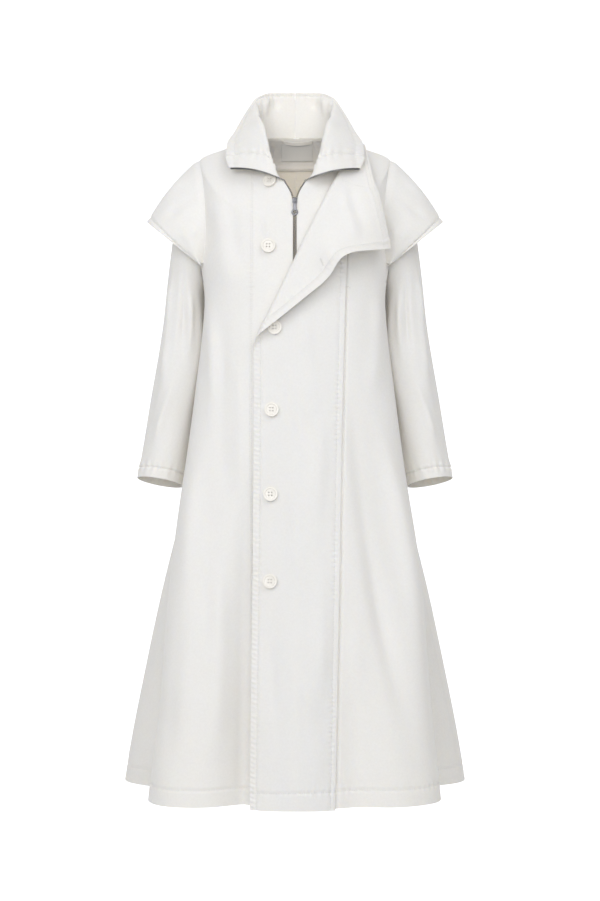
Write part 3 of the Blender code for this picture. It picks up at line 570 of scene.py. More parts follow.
def front_surface(side, angle, level):
    """The front's outer face with its creases, its puckered hem and the stitched facing line."""
    points = body(angle, level)
    table = RIGHT_FRONT_CREASES if side < 0 else LEFT_FRONT_CREASES
    out = creases(table, points[..., 0], points[..., 2])
    out = out * smooth((np.abs(SIDE_SEAM - np.abs(angle)) - 1.0) / 8.0)
    round_run = np.radians(np.abs(angle)) * HEM_REACH
    out = out + puckers(HEM_LEVEL - level - HEM_TURNED, round_run, groove=0.0014, swell=0.0012)
    if side < 0:
        beside = points[..., 0] - facing_line(level)
        out = out + swell_at(beside, FACING_RIDGE)
        out = out - smooth((level - 0.36) / 0.30) * swell_at(beside, FACING_VALLEY)
        for gap in (0.0, FACING_LINE_GAP):
            out = out + puckers(beside - gap, level, swell=0.0003)
    else:
        z = points[..., 2]
        beside = points[..., 0] - np.interp(z, SEWN_EDGE_HEIGHTS, SEWN_EDGE_ACROSS)
        out = out - smooth((-0.10 - z) / 0.05) * swell_at(beside, SEWN_EDGE_DIP)
    return points + out[..., None] * body_normal(angle, level)


for side, name in SIDES:
    def front_place(share, level):
        share = share if side > 0 else 1 - share
        return front_surface(side, front_angle(side, share, level), level)

    shares = np.linspace(0, 1, 150 if side > 0 else 96)
    panel = lay_cloth(f"front_{name}_cloth", shares, panel_rows(), front_place, WALL)
    dress(panel, f"front_{name}")
    shares = np.linspace(0.01, 0.99, 200)
    level = np.full_like(shares, HEM_LEVEL - HEM_TURNED)
    angle = front_angle(side, shares, level)
    sew(front_surface(side, angle, level), body_normal(angle, level))
    if side < 0:
        level = np.linspace(0.012, 1.225, 600)
        for gap in (0.0, FACING_LINE_GAP):
            angle = angle_at(facing_line(level) + gap, level)
            sew(front_surface(side, angle, level), body_normal(angle, level))
join_stitches("front_stitching")

# Backs
# The two back panels in the same twill, joined at the centre back seam, which is topstitched on one
# side, and sewn to the fronts at the side folds.
BACK_CREASES = (
    (0.030, -0.150, 0.060, -0.420, 0.020, 0.0030),
    (-0.060, -0.180, -0.085, -0.480, 0.018, -0.0030),
    (0.110, -0.260, 0.090, -0.560, 0.016, 0.0035),
    (-0.120, -0.280, -0.130, -0.640, 0.018, 0.0040),
    (0.050, -0.520, 0.075, -0.960, 0.018, -0.0040),
    (-0.040, -0.600, -0.060, -1.080, 0.020, 0.0045),
    (0.150, -0.640, 0.185, -1.120, 0.018, 0.0050),
    (-0.160, -0.720, -0.200, -1.180, 0.017, -0.0045),
    (0.100, -0.880, 0.110, -1.200, 0.015, 0.0040),
)
CENTRE_STITCH = 0.0060


def back_angle(side, share, level):
    first = SIDE_SEAM + (ARMHOLE_BACK - SIDE_SEAM) * armhole_spread(level)
    first = first + half_gap(first, level)
    last = 180.0 - half_gap(np.full_like(level, 179.0), level)
    return side * (first + (last - first) * share)


def back_surface(angle, level):
    """The back's outer face with its creases and puckered hem, and the dip of the centre seam."""
    points = body(angle, level)
    edge_fade = smooth((np.abs(np.abs(angle) - SIDE_SEAM) - 1.0) / 8.0)
    out = creases(BACK_CREASES, points[..., 0], points[..., 2]) * edge_fade
    out = out + puckers(HEM_LEVEL - level - HEM_TURNED, np.radians(np.abs(angle)) * HEM_REACH, swell=0.0007)
    out = out - 0.0012 * np.exp(-((points[..., 0] / 0.0030) ** 2))
    out = out + puckers(points[..., 0] - CENTRE_STITCH, level, swell=0.0003)
    return points + out[..., None] * body_normal(angle, level)


for side, name in SIDES:
    def back_place(share, level):
        share = share if side > 0 else 1 - share
        return back_surface(back_angle(side, share, level), level)

    shares = np.concatenate((np.linspace(0, 0.9, 52, endpoint=False), np.linspace(0.9, 1, 17)))
    panel = lay_cloth(f"back_{name}_cloth", shares, panel_rows(), back_place, WALL)
    dress(panel, f"back_{name}")
    run = np.linspace(0.01, 0.99, 180)
    level = np.full_like(run, HEM_LEVEL - HEM_TURNED)
    angle = back_angle(side, run, level)
    sew(back_surface(angle, level), body_normal(angle, level))
level = np.linspace(0.006, HEM_LEVEL - 0.004, 500)
half_width = read_table(BODY_RINGS, BODY_COLUMNS, level)["half_width"]
angle = 180.0 - np.degrees(np.arcsin(CENTRE_STITCH / half_width))
sew(back_surface(angle, level), body_normal(angle, level))
join_stitches("back_stitching")

# Inside the back neck
# A shaped facing in the same twill, a bare woven label stitched on it along its top and bottom edges, and a
# hanger loop of folded twill caught in the neck seam at both ends.
FACING_WALL = 0.0010
FACING_EASE = 0.0011
FACING_ANGLE = 128.0
FACING_TOP_LEVEL = 0.0015
FACING_LOW_LEVEL = 0.0620
LABEL_WALL = 0.0006
LABEL_MIDDLE_X = 0.0040
LABEL_HALF_WIDTH = 0.0310
LABEL_TOP_LEVEL = 0.0090
LABEL_LOW_LEVEL = 0.0430
LOOP_HALF_WIDTH = 0.0300
LOOP_TOP_LEVEL = 0.0020
LOOP_LOW_LEVEL = 0.0080
LOOP_SAG = 0.0050
LOOP_STAND_OFF = 0.0040


def inside_back(angle, level, depth):
    """A place inside the back, this deep under its outer face."""
    return body(angle, level) - np.asarray(depth)[..., None] * body_normal(angle, level)


def back_at(x, level):
    """The degrees round, on the back, at which the body is x across."""
    ring = read_table(BODY_RINGS, BODY_COLUMNS, level)
    share = x / ring["half_width"]
    return 180.0 - np.degrees(np.arcsin(np.sign(share) * np.abs(share) ** (1 / ring["round"])))


def facing_place(share, level):
    angle = FACING_ANGLE + (360.0 - 2 * FACING_ANGLE) * share
    ease = WALL + SEAM_GAP + FACING_EASE
    soft = 0.0004 * np.sin(angle * 0.55) * np.sin(level * 70.0)
    seam = puckers(level - FACING_LOW_LEVEL + 0.004, np.radians(angle) * 0.09, swell=0.0003)
    return inside_back(angle, level, ease + np.maximum(soft - seam, -0.0006))


def label_place(share, level):
    x = LABEL_MIDDLE_X + LABEL_HALF_WIDTH * (1 - 2 * share)
    low = LABEL_LOW_LEVEL - LABEL_TOP_LEVEL
    rise = 0.0005 * np.sin(math.pi * share) * np.sin(math.pi * (level - LABEL_TOP_LEVEL) / low)
    depth = WALL + FACING_WALL + 2 * SEAM_GAP + 1.5 * FACING_EASE + 0.0007
    return inside_back(back_at(x, level), level, depth + rise)


def loop_place(share, level):
    swing = 2 * share - 1
    angle = back_at(LABEL_MIDDLE_X - LOOP_HALF_WIDTH * swing, level)
    depth = np.full_like(share, WALL + FACING_WALL + 2 * SEAM_GAP + FACING_EASE)
    bow = 1 - swing**2
    away = np.stack((0.0 * bow, -LOOP_STAND_OFF * bow, -LOOP_SAG * bow), -1)
    return inside_back(angle, level, depth) + away


def woven_label():
    """Damask label tape, woven from fine polyester: pale grey with a faint cross rib and a slight sheen."""
    made, tree, shader = new_material("woven_label", {"Roughness": 0.6, "Sheen Weight": 0.2})
    place = add(tree, "ShaderNodeTexCoord", {})
    rib = add(tree, "ShaderNodeTexWave", {"Scale": 1 / 0.0010 / math.pi, "bands_direction": "Y"},
              {"Vector": place.outputs["UV"]})
    tones = add(tree, "ShaderNodeMixRGB", {"Color1": linear("DADAD7"), "Color2": linear("E4E4E1")},
                {"Fac": rib.outputs["Fac"]})
    weave = add(tree, "ShaderNodeBump", {"Strength": 0.15, "Distance": 0.0004},
                {"Height": rib.outputs["Fac"]})
    tree.links.new(tones.outputs["Color"], shader.inputs["Base Color"])
    tree.links.new(weave.outputs["Normal"], shader.inputs["Normal"])
    return made


facing_rows = np.linspace(FACING_LOW_LEVEL, FACING_TOP_LEVEL, 34)
facing = lay_cloth("neck_facing_cloth", np.linspace(0, 1, 90), facing_rows, facing_place, FACING_WALL)
dress(facing, "neck_facing")
label_rows = np.linspace(LABEL_LOW_LEVEL, LABEL_TOP_LEVEL, 20)
label = lay_cloth("neck_label_tape", np.linspace(0, 1, 34), label_rows, label_place, LABEL_WALL)
dress(label, "neck_label", woven_label())
loop_rows = np.linspace(LOOP_LOW_LEVEL, LOOP_TOP_LEVEL, 6)
loop = lay_cloth("hanger_loop_cloth", np.linspace(0, 1, 40), loop_rows, loop_place, FACING_WALL)
dress(loop, "hanger_loop")
share = np.linspace(0.02, 0.98, 120)
level = np.full_like(share, FACING_LOW_LEVEL - 0.004)
angle = FACING_ANGLE + (360.0 - 2 * FACING_ANGLE) * share
sew(facing_place(share, level) - FACING_WALL * body_normal(angle, level), -body_normal(angle, level))
for level_at in (LABEL_TOP_LEVEL + 0.0015, LABEL_LOW_LEVEL - 0.0015):
    share = np.linspace(0.03, 0.97, 30)
    level = np.full_like(share, level_at)
    normal = body_normal(back_at(LABEL_MIDDLE_X + LABEL_HALF_WIDTH * (1 - 2 * share), level), level)
    sew(label_place(share, level) - LABEL_WALL * normal, -normal, stitch=0.0022, skip=0.0008, thick=0.0004)
join_stitches("neck_stitching")

# Collar
# Two halves of twill joined at the centre back, sewn to the neck seam and standing up behind;
# the fronts fall outward to points, with a stitched edge and the seam of the zip's facing.
COLLAR_COLUMNS = ("angle", "mid_x", "mid_y", "mid_z", "edge_x", "edge_y", "edge_z")
COLLAR = (
    (15.3, 0.066, -0.126, -0.090, 0.1205, -0.094, -0.081),
    (30.0, 0.053, -0.120, -0.066, 0.128, -0.074, -0.056),
    (50.0, 0.058, -0.086, -0.022, 0.127, -0.040, -0.028),
    (72.0, 0.064, -0.050, 0.014, 0.113, -0.016, 0.001),
    (95.0, 0.069, -0.018, 0.036, 0.094, 0.012, 0.040),
    (120.0, 0.066, 0.024, 0.043, 0.072, 0.040, 0.076),
    (150.0, 0.043, 0.054, 0.046, 0.046, 0.062, 0.089),
    (180.0, 0.000, 0.064, 0.047, 0.000, 0.071, 0.091),
)
COLLAR_OVER_FLAP = (0.0, -0.016, -0.0035)
ZIP_EDGE_ANGLE = 15.3
COLLAR_BACK_ANGLE = 179.88
COLLAR_EDGE_STITCH = 0.925
COLLAR_SEAM_ANGLE = 33.0
# Creases of a half collar, by metres round from the zip edge and metres up from the neck seam
COLLAR_CREASES = (
    (0.035, 0.010, 0.060, 0.075, 0.008, 0.0022),
    (0.075, 0.012, 0.085, 0.080, 0.010, -0.0022),
    (0.115, 0.020, 0.110, 0.088, 0.009, 0.0020),
    (0.165, 0.045, 0.160, 0.092, 0.009, 0.0040),
    (0.195, 0.040, 0.205, 0.092, 0.010, -0.0045),
    (0.230, 0.050, 0.226, 0.094, 0.009, 0.0034),
)


def collar_base(angle, up, side):
    """Half the collar as on the left, from the neck seam (0) to its top edge (1).

    The left half lies over the turned flap, so its front stands further out.
    """
    read = read_table(COLLAR, COLLAR_COLUMNS, angle)
    low = body(angle, np.zeros_like(angle)) + np.array((0.0, 0.0, 0.0001))
    mid = np.stack((read["mid_x"], read["mid_y"], read["mid_z"]), -1)
    edge = np.stack((read["edge_x"], read["edge_y"], read["edge_z"]), -1)
    t = np.asarray(up)[..., None]
    point = low * (1 - t) * (1 - 2 * t) + mid * 4 * t * (1 - t) + edge * t * (2 * t - 1)
    if side > 0:
        push = smooth(up / 0.7) * smooth((95.0 - angle) / 45.0)
        point = point + push[..., None] * np.array(COLLAR_OVER_FLAP)
    return point


def collar_normal(angle, up, side):
    round_it = collar_base(angle + 1.5, up, side) - collar_base(angle - 1.5, up, side)
    above = collar_base(angle, np.clip(up + 0.03, 0, 1), side)
    rise = above - collar_base(angle, np.clip(up - 0.03, 0, 1), side)
    outward = unit(np.cross(round_it, rise))
    outward[..., 0] *= smooth((180.0 - angle) / 12.0)
    return unit(outward)


def collar_surface(angle, up, side):
    """Half the collar's outer face with its creases, edge stitching and facing seam."""
    run = (angle - ZIP_EDGE_ANGLE) / 165.0 * 0.27
    tall = 0.095 * up
    hold = smooth(up / 0.15) * smooth((angle - ZIP_EDGE_ANGLE) / 6.0) * smooth((178.0 - angle) / 8.0)
    out = hold * creases(COLLAR_CREASES, run, tall)
    out = out - puckers((up - COLLAR_EDGE_STITCH) * 0.095, run, groove=0.0015, swell=0.0007)
    out = out - puckers((angle - COLLAR_SEAM_ANGLE) / 165.0 * 0.27, tall, groove=0.0034, swell=0.0012)
    return collar_base(angle, up, side) + out[..., None] * collar_normal(angle, up, side)


def mirrored(points, side):
    return points * np.array((side, 1.0, 1.0))


def sew_both_faces(angle, up, side):
    """A line of stitches on the collar's outer face and on the inner one, which its turned front shows."""
    points = mirrored(collar_surface(angle, up, side), side)
    outward = mirrored(collar_normal(angle, up, side), side)
    sew(points, outward)
    sew(points - WALL * outward, -outward)


for side, name in SIDES:
    def collar_place(share, up):
        share = share if side > 0 else 1 - share
        angle = ZIP_EDGE_ANGLE + (COLLAR_BACK_ANGLE - ZIP_EDGE_ANGLE) * share
        return mirrored(collar_surface(angle, up, side), side)

    shares = np.linspace(0, 1, 130)
    collar = lay_cloth(f"collar_{name}_cloth", shares, np.linspace(0, 1, 52), collar_place, WALL)
    dress(collar, f"collar_{name}")
    angle = np.linspace(ZIP_EDGE_ANGLE + 1.5, 178.5, 260)
    up = np.full_like(angle, COLLAR_EDGE_STITCH)
    sew_both_faces(angle, up, side)
    up = np.linspace(0.03, COLLAR_EDGE_STITCH, 120)
    sew_both_faces(np.full_like(up, COLLAR_SEAM_ANGLE), up, side)
join_stitches("collar_stitching")

# Zip
# A metal zip: two rows of stamped teeth clenched along the front edges and out along the collar's, closed
# below the slider; the slider and its pull tab are cast and polished.
ZIP_END_LEVEL = 0.850
ZIP_FRONT_SHARE = 0.66
ZIP_SUNK = 0.0012
TOOTH_PITCH = 0.0030
CAST_ROUND = 0.0003
TOOTH_SIZE = (0.0030, 0.0016, 0.0028)
TOOTH_TOP = 0.62
TOOTH_ASIDE = 0.0020


def zip_path(up, aside, side):
    """A row's middle line as on the left: up the front edge, then out along the collar's front edge."""
    level = np.interp(up, (0.0, 0.16, 0.40, ZIP_FRONT_SHARE), (ZIP_END_LEVEL, 0.060, 0.026, 0.0005))
    angle = angle_at(spline(OPENING_LEVELS, OPENING_HALVES, level), level)
    near = body(angle, level)
    front = near + aside * unit(near - body(angle + 2.0, level))
    raised = np.clip((up - ZIP_FRONT_SHARE) / (1 - ZIP_FRONT_SHARE), 0.0, 1.0)
    first = np.full_like(up, ZIP_EDGE_ANGLE)
    edge = collar_base(first, raised, side)
    wing = edge + aside * unit(edge - collar_base(first + 3.0, raised, side))
    on_front = (up <= ZIP_FRONT_SHARE)[..., None]
    outward = np.where(on_front, body_normal(angle, level), collar_normal(first, raised, side))
    return np.where(on_front, front, wing) - ZIP_SUNK * outward, outward


def zip_metal():
    """Zip metal, nickel-plated brass, stamped and tumbled: grey, with fine scratches in its gloss."""
    made, tree, shader = new_material("nickel_plate", {"Metallic": 1.0, "Base Color": linear("7E7E80")})
    place = add(tree, "ShaderNodeTexCoord", {})
    worn = add(tree, "ShaderNodeTexNoise", {"Scale": 700.0, "Detail": 4.0},
               {"Vector": place.outputs["Object"]})
    gloss = add(tree, "ShaderNodeMapRange", {"To Min": 0.24, "To Max": 0.46}, {"Value": worn.outputs["Fac"]})
    tree.links.new(gloss.outputs["Result"], shader.inputs["Roughness"])
    return made


nickel = zip_metal()
fine = np.concatenate((np.linspace(0, 0.16, 900), np.linspace(0.16, 1, 900)[1:]))
for side, name in SIDES:
    path, outward = zip_path(fine, TOOTH_ASIDE, side)
    reach = run_along(path)
    at = np.arange(TOOTH_PITCH, reach[-1] - TOOTH_PITCH, TOOTH_PITCH)
    at = at + (0.5 * TOOTH_PITCH if side > 0 else 0.0)
    middle = read_along(at, reach, path)
    up = unit(read_along(at, reach, outward))
    ahead = unit(np.gradient(middle, axis=0))
    across = np.cross(up, ahead)
    corners = []
    for c in (-1, 1):
        for a, b in ((-1, -1), (1, -1), (1, 1), (-1, 1)):
            slim = TOOTH_TOP if c > 0 else 1.0
            wide, long, tall = 0.5 * np.array(TOOTH_SIZE)
            corners.append(middle + slim * a * wide * across + slim * b * long * ahead + c * tall * up)
    shapes = mirrored(np.stack(corners, 1), side)
    faces = np.array(((3, 2, 1, 0), (4, 5, 6, 7), (0, 1, 5, 4), (1, 2, 6, 5), (2, 3, 7, 6), (3, 0, 4, 7)))
    teeth = join_shapes(f"zip_teeth_{name}", shapes, faces, nickel)
    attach(teeth, "coat")
    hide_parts(f"zip_row_{name}")


def rounded_copy(node, name, width, finish, body_name):
    """A CAD piece's own shape with its sharp edges rounded, in its place."""
    copied = bpy.data.objects.new(name, nodes[node].data.copy())
    bpy.context.scene.collection.objects.link(copied)
    pick(copied)
    bpy.ops.object.mode_set(mode="EDIT")
    bpy.ops.mesh.select_all(action="SELECT")
    bpy.ops.mesh.remove_doubles(threshold=1e-6)
    bpy.ops.mesh.dissolve_limited(angle_limit=math.radians(2))
    bpy.ops.object.mode_set(mode="OBJECT")
    softened = copied.modifiers.new("Round", "BEVEL")
    softened.width = width
    softened.segments = 2
    softened.limit_method = "ANGLE"
    softened.angle_limit = math.radians(40)
    bpy.ops.object.modifier_apply(modifier=softened.name)
    bpy.ops.object.shade_smooth_by_angle(angle=math.radians(35))
    copied.data.materials.clear()
    copied.data.materials.append(finish)
    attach(copied, body_name)
    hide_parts(node)
    return copied


for node, body_name in (("zip_slider", "coat"), ("pull_tab", "pull_tab")):
    cast = rounded_copy(node, f"{node}_cast", CAST_ROUND, nickel, body_name)

# Sleeves
# Two one-piece set-in sleeves in the twill, eased into the armholes under the capes, each with a turned
# and stitched hem that puckers, and long folds that fall from the shoulder.
SLEEVE_COLUMNS = ("along", "outer_x", "outer_z", "inner_x", "inner_z", "front_y", "back_y", "back_drop")
SLEEVE = (
    (0.00, 0.181, -0.052, 0.162, -0.285, -0.074, 0.074, 0.000),
    (0.12, 0.218, -0.130, 0.1680, -0.296, -0.069, 0.070, 0.000),
    (0.25, 0.236, -0.235, 0.1700, -0.312, -0.062, 0.064, 0.002),
    (0.45, 0.252, -0.375, 0.1720, -0.390, -0.060, 0.060, 0.004),
    (0.70, 0.275, -0.515, 0.1880, -0.525, -0.060, 0.056, 0.006),
    (0.93, 0.293, -0.626, 0.2040, -0.640, -0.064, 0.050, 0.008),
    (1.00, 0.299, -0.655, 0.2120, -0.670, -0.066, 0.047, 0.009),
)
SLEEVE_SETTLES = 0.22
SLEEVE_LENGTH = 0.62
SLEEVE_GIRTH = 0.34
CUFF_TURNED = 0.029
# Creases by metres round the sleeve from the shoulder line (front +) and metres down it
SLEEVE_CREASES = (
    (0.045, 0.150, 0.060, 0.420, 0.010, 0.0067),
    (0.075, 0.140, 0.090, 0.360, 0.009, -0.0067),
    (0.105, 0.160, 0.115, 0.400, 0.010, 0.0060),
    (0.010, 0.200, 0.030, 0.520, 0.012, -0.0037),
    (0.085, 0.380, 0.060, 0.560, 0.010, 0.0045),
    (0.126, 0.130, 0.120, 0.600, 0.020, 0.0080),
    (-0.050, 0.180, -0.065, 0.450, 0.011, 0.0060),
    (-0.090, 0.220, -0.085, 0.540, 0.012, -0.0053),
    (-0.125, 0.200, -0.120, 0.420, 0.010, 0.0045),
)


def armhole(turn, inset):
    """The left armhole's edge: 0 at the shoulder, 90 in front, 180 underarm, -90 behind."""
    share = 0.5 * (1 - np.cos(np.radians(turn)))
    level = SHOULDER_LEVEL + inset + (UNDERARM_LEVEL - SHOULDER_LEVEL - 2 * inset) * share
    spread = np.abs(np.sin(np.radians(turn))) ** ARMHOLE_SQUARE
    edge = np.where(turn >= 0, ARMHOLE_FRONT, ARMHOLE_BACK)
    return SIDE_SEAM + (edge - SIDE_SEAM) * spread * (1 - inset / 0.04), level


def sleeve_base(turn, along):
    """The left sleeve: degrees round it as at the armhole, and from the armhole (0) to the cuff (1)."""
    read = read_table(SLEEVE, SLEEVE_COLUMNS, along)
    cosine = np.cos(np.radians(turn))
    sine = np.sin(np.radians(turn))
    share = 0.5 * (1 - cosine)
    x = read["outer_x"] + (read["inner_x"] - read["outer_x"]) * share
    y = 0.5 * (read["front_y"] + read["back_y"]) - 0.5 * (read["back_y"] - read["front_y"]) * sine
    z = read["outer_z"] + (read["inner_z"] - read["outer_z"]) * share + read["back_drop"] * sine
    angle, level = armhole(turn, SLEEVE_INSET)
    blend = smooth(along / SLEEVE_SETTLES)[..., None]
    return body(angle, level) * (1 - blend) + np.stack((x, y, z), -1) * blend


def sleeve_normal(turn, along):
    round_it = sleeve_base(turn - 1.5, along) - sleeve_base(turn + 1.5, along)
    up = sleeve_base(turn, np.clip(along - 0.01, 0, 1)) - sleeve_base(turn, np.clip(along + 0.01, 0, 1))
    return unit(np.cross(round_it, up))


def sleeve_surface(turn, along):
    """The left sleeve's outer face with its folds and puckered hem."""
    turn = (turn + 180.0) % 360.0 - 180.0
    run = turn / 360.0 * SLEEVE_GIRTH
    down = along * SLEEVE_LENGTH
    free = smooth((along - 0.16) / 0.12) * smooth((172.0 - np.abs(turn)) / 40.0)
    out = free * creases(SLEEVE_CREASES, run, down)
    from_stitch = (1 - along) * SLEEVE_LENGTH - CUFF_TURNED
    out = out + puckers(from_stitch, run, groove=0.0026, swell=0.0022, pitch=0.016, reach=0.016)
    return sleeve_base(turn, along) + out[..., None] * sleeve_normal(turn, along)


sleeve_rows = np.concatenate((np.linspace(0, 0.09, 26, endpoint=False), np.linspace(0.09, 1, 104)))
for side, name in SIDES:
    def sleeve_place(share, up):
        return mirrored(sleeve_surface(side * (180.0 - 360.0 * share), 1 - up), side)

    shares = np.linspace(0, 1, 109)
    sleeve = lay_cloth(f"sleeve_{name}_cloth", shares, sleeve_rows, sleeve_place, WALL, closed=True)
    dress(sleeve, f"sleeve_{name}")
    turn = np.linspace(-179.0, 179.0, 240)
    along = np.full_like(turn, 1 - CUFF_TURNED / SLEEVE_LENGTH)
    sew(mirrored(sleeve_surface(turn, along), side), mirrored(sleeve_normal(turn, along), side))
join_stitches("sleeve_stitching")

# Shoulder capes
# A half-round cape over each shoulder, one layer of twill caught in the armhole seam, with a narrow
# turned hem stitched near its edge, which ripples a little.
CAPE_WALL = 0.0014
CAPE_TIP = (0.281, 0.006, -0.1685)
CAPE_FULLNESS = 0.030
CAPE_ROUND = 0.85
CAPE_CORNER_DROP = 0.006
CAPE_SEAM_TURN = 126.0
CAPE_LIFT = 0.0032
CAPE_SUNK = 0.0009
CAPE_LAP = 0.0060
CAPE_BULGE = 0.008
CAPE_HEM = 0.010
# Creases by metres round the cape from its front corner and metres down from the seam
CAPE_CREASES = (
    (0.060, 0.010, 0.050, 0.095, 0.010, 0.0030),
    (0.105, 0.008, 0.105, 0.120, 0.011, -0.0030),
    (0.150, 0.010, 0.160, 0.125, 0.013, 0.0035),
    (0.200, 0.010, 0.205, 0.125, 0.012, -0.0028),
    (0.250, 0.010, 0.255, 0.120, 0.012, 0.0032),
    (0.300, 0.010, 0.305, 0.100, 0.011, -0.0028),
)
CAPE_ROUND_LENGTH = 0.36
CAPE_DEEP = 0.135


def cape_seam(share):
    """The cape's sewn edge, just over the armhole seam."""
    angle, level = armhole(CAPE_SEAM_TURN * (1 - 2 * share), -CAPE_LAP)
    return body(angle, level), body_normal(angle, level)


def cape_base(share, down):
    """The left cape, from its front corner (0) over the shoulder to the back one (1), seam to hem."""
    seam, outward = cape_seam(share)
    lift = -CAPE_SUNK + (CAPE_LIFT + CAPE_SUNK) * smooth(down / 0.10)
    seam = seam + lift[..., None] * outward
    ends, outward = cape_seam(np.array((0.0, 1.0)))
    front, back = ends + CAPE_LIFT * outward
    front = front + np.array((0.0, -0.001, -CAPE_CORNER_DROP))
    back = back + np.array((0.0, 0.001, -CAPE_CORNER_DROP))
    swing = np.radians(180.0 * share - 90.0)
    out = np.clip(np.cos(swing), 0.0, 1.0) ** CAPE_ROUND
    aside = np.sign(np.sin(swing)) * np.abs(np.sin(swing)) ** CAPE_ROUND
    middle = 0.5 * (front + back)
    hem = middle + aside[..., None] * 0.5 * (back - front) + out[..., None] * (np.array(CAPE_TIP) - middle)
    hem[..., 1] += CAPE_FULLNESS * aside * out
    away = unit(np.stack((0.4 + 0.0 * out, 1.1 * aside, 0.5 * out), -1))
    bulge = CAPE_BULGE * np.sin(math.pi * down)[..., None] * away
    return seam * (1 - down[..., None]) + hem * down[..., None] + bulge


def cape_normal(share, down):
    share = np.clip(share, 0.006, 0.994)
    round_it = cape_base(share + 0.005, down) - cape_base(share - 0.005, down)
    up = cape_base(share, np.clip(down - 0.02, 0, 1)) - cape_base(share, np.clip(down + 0.02, 0, 1))
    return unit(np.cross(round_it, up))


def cape_surface(share, down):
    """The left cape's outer face with its ripples and stitched hem."""
    run = share * CAPE_ROUND_LENGTH
    hold = smooth(share / 0.08) * smooth((1 - share) / 0.08) * smooth(down / 0.15)
    out = hold * creases(CAPE_CREASES, run, down * CAPE_DEEP)
    out = out + hold * puckers((1 - down) * CAPE_DEEP - CAPE_HEM, run, groove=0.0024, swell=0.0013)
    return cape_base(share, down) + out[..., None] * cape_normal(share, down)


for side, name in SIDES:
    def cape_place(share, up):
        share = share if side > 0 else 1 - share
        return mirrored(cape_surface(share, 1 - up), side)

    shares = np.linspace(0, 1, 121)
    cape = lay_cloth(f"cape_{name}_cloth", shares, np.linspace(0, 1, 56), cape_place, CAPE_WALL)
    dress(cape, f"cape_{name}")
    share = np.linspace(0.03, 0.97, 240)
    down = np.full_like(share, 1 - CAPE_HEM / CAPE_DEEP)
    sew(mirrored(cape_surface(share, down), side), mirrored(cape_normal(share, down), side))
join_stitches("cape_stitching")

# Front overlap
# A long flap sewn down one side of the left front and buttoned across to the right; its top
# corner is unbuttoned and turned back, so a roll runs across the chest. Its free edge is a stitched band.
OVERLAP_FREE_TOP_X = -0.0912
OVERLAP_FREE_CHEST_X = -0.0752
OVERLAP_FREE_WAIST_X = -0.0735
OVERLAP_FREE_HEM_X = -0.0795
OVERLAP_SEWN_TOP_X = 0.1180
OVERLAP_SEWN_CHEST_X = 0.0947
OVERLAP_SEWN_HEM_X = 0.0726
OVERLAP_FREE_TOP_Z = -0.1221
OVERLAP_PEAK_SHARE = 0.878
OVERLAP_PEAK_Z = -0.0200
OVERLAP_SEWN_TOP_Z = -0.0380
OVERLAP_SEWN_CHEST_Z = -0.2550
OVERLAP_HEM_Z = -1.236
LOWEST_RING_Z = -1.2290
OVERLAP_STAND_OFF = 0.0022
OVERLAP_SHOULDER_EASE = 0.0016
OVERLAP_FOLD_SHARE = 0.35
ROLL_LOW = (-0.0375, -0.3548)
ROLL_HIGH = (0.1080, -0.0455)
ROLL_RADIUS = 0.0075
ROLL_TOP_RADIUS = 0.0040
ROLL_NARROWS = (0.230, 0.340)
FLAP_LIFT = 0.010
FLAP_WAVE_AT = 0.138
FLAP_WAVE_SPREAD = 0.034
FLAP_WAVE_PULL = 0.24
FLAP_WAVE_OUT = 0.016
BAND_WIDE = 0.0115
FLAP_EDGE_STITCHES = (0.0040, 0.0100)
SEWN_STITCH = 0.0095
STITCHED_WIDE = 0.152
STITCHED_TALL = 1.114
# Creases of the overlap, by place on its flat pattern
OVERLAP_CREASES = (
    (0.010, -0.330, 0.030, -0.560, 0.014, 0.0036),
    (-0.020, -0.430, 0.040, -0.640, 0.013, -0.0031),
    (0.045, -0.520, 0.020, -0.820, 0.015, 0.0036),
    (-0.010, -0.660, 0.030, -0.930, 0.014, -0.0034),
    (0.050, -0.800, 0.030, -1.100, 0.016, 0.0039),
    (-0.040, -0.880, -0.020, -1.180, 0.013, -0.0034),
    (0.010, -0.980, 0.040, -1.220, 0.014, 0.0036),
    (0.0475, -0.103, -0.067, -0.166, 0.010, -0.0042),
    (0.039, -0.093, -0.075, -0.156, 0.012, 0.0039),
)


def overlap_sewn(z):
    """How far across the overlap's sewn edge lies: almost straight, bending out under the turned flap."""
    heights = (OVERLAP_HEM_Z, OVERLAP_SEWN_CHEST_Z, OVERLAP_SEWN_TOP_Z)
    return spline(heights, (OVERLAP_SEWN_HEM_X, OVERLAP_SEWN_CHEST_X, OVERLAP_SEWN_TOP_X), z)


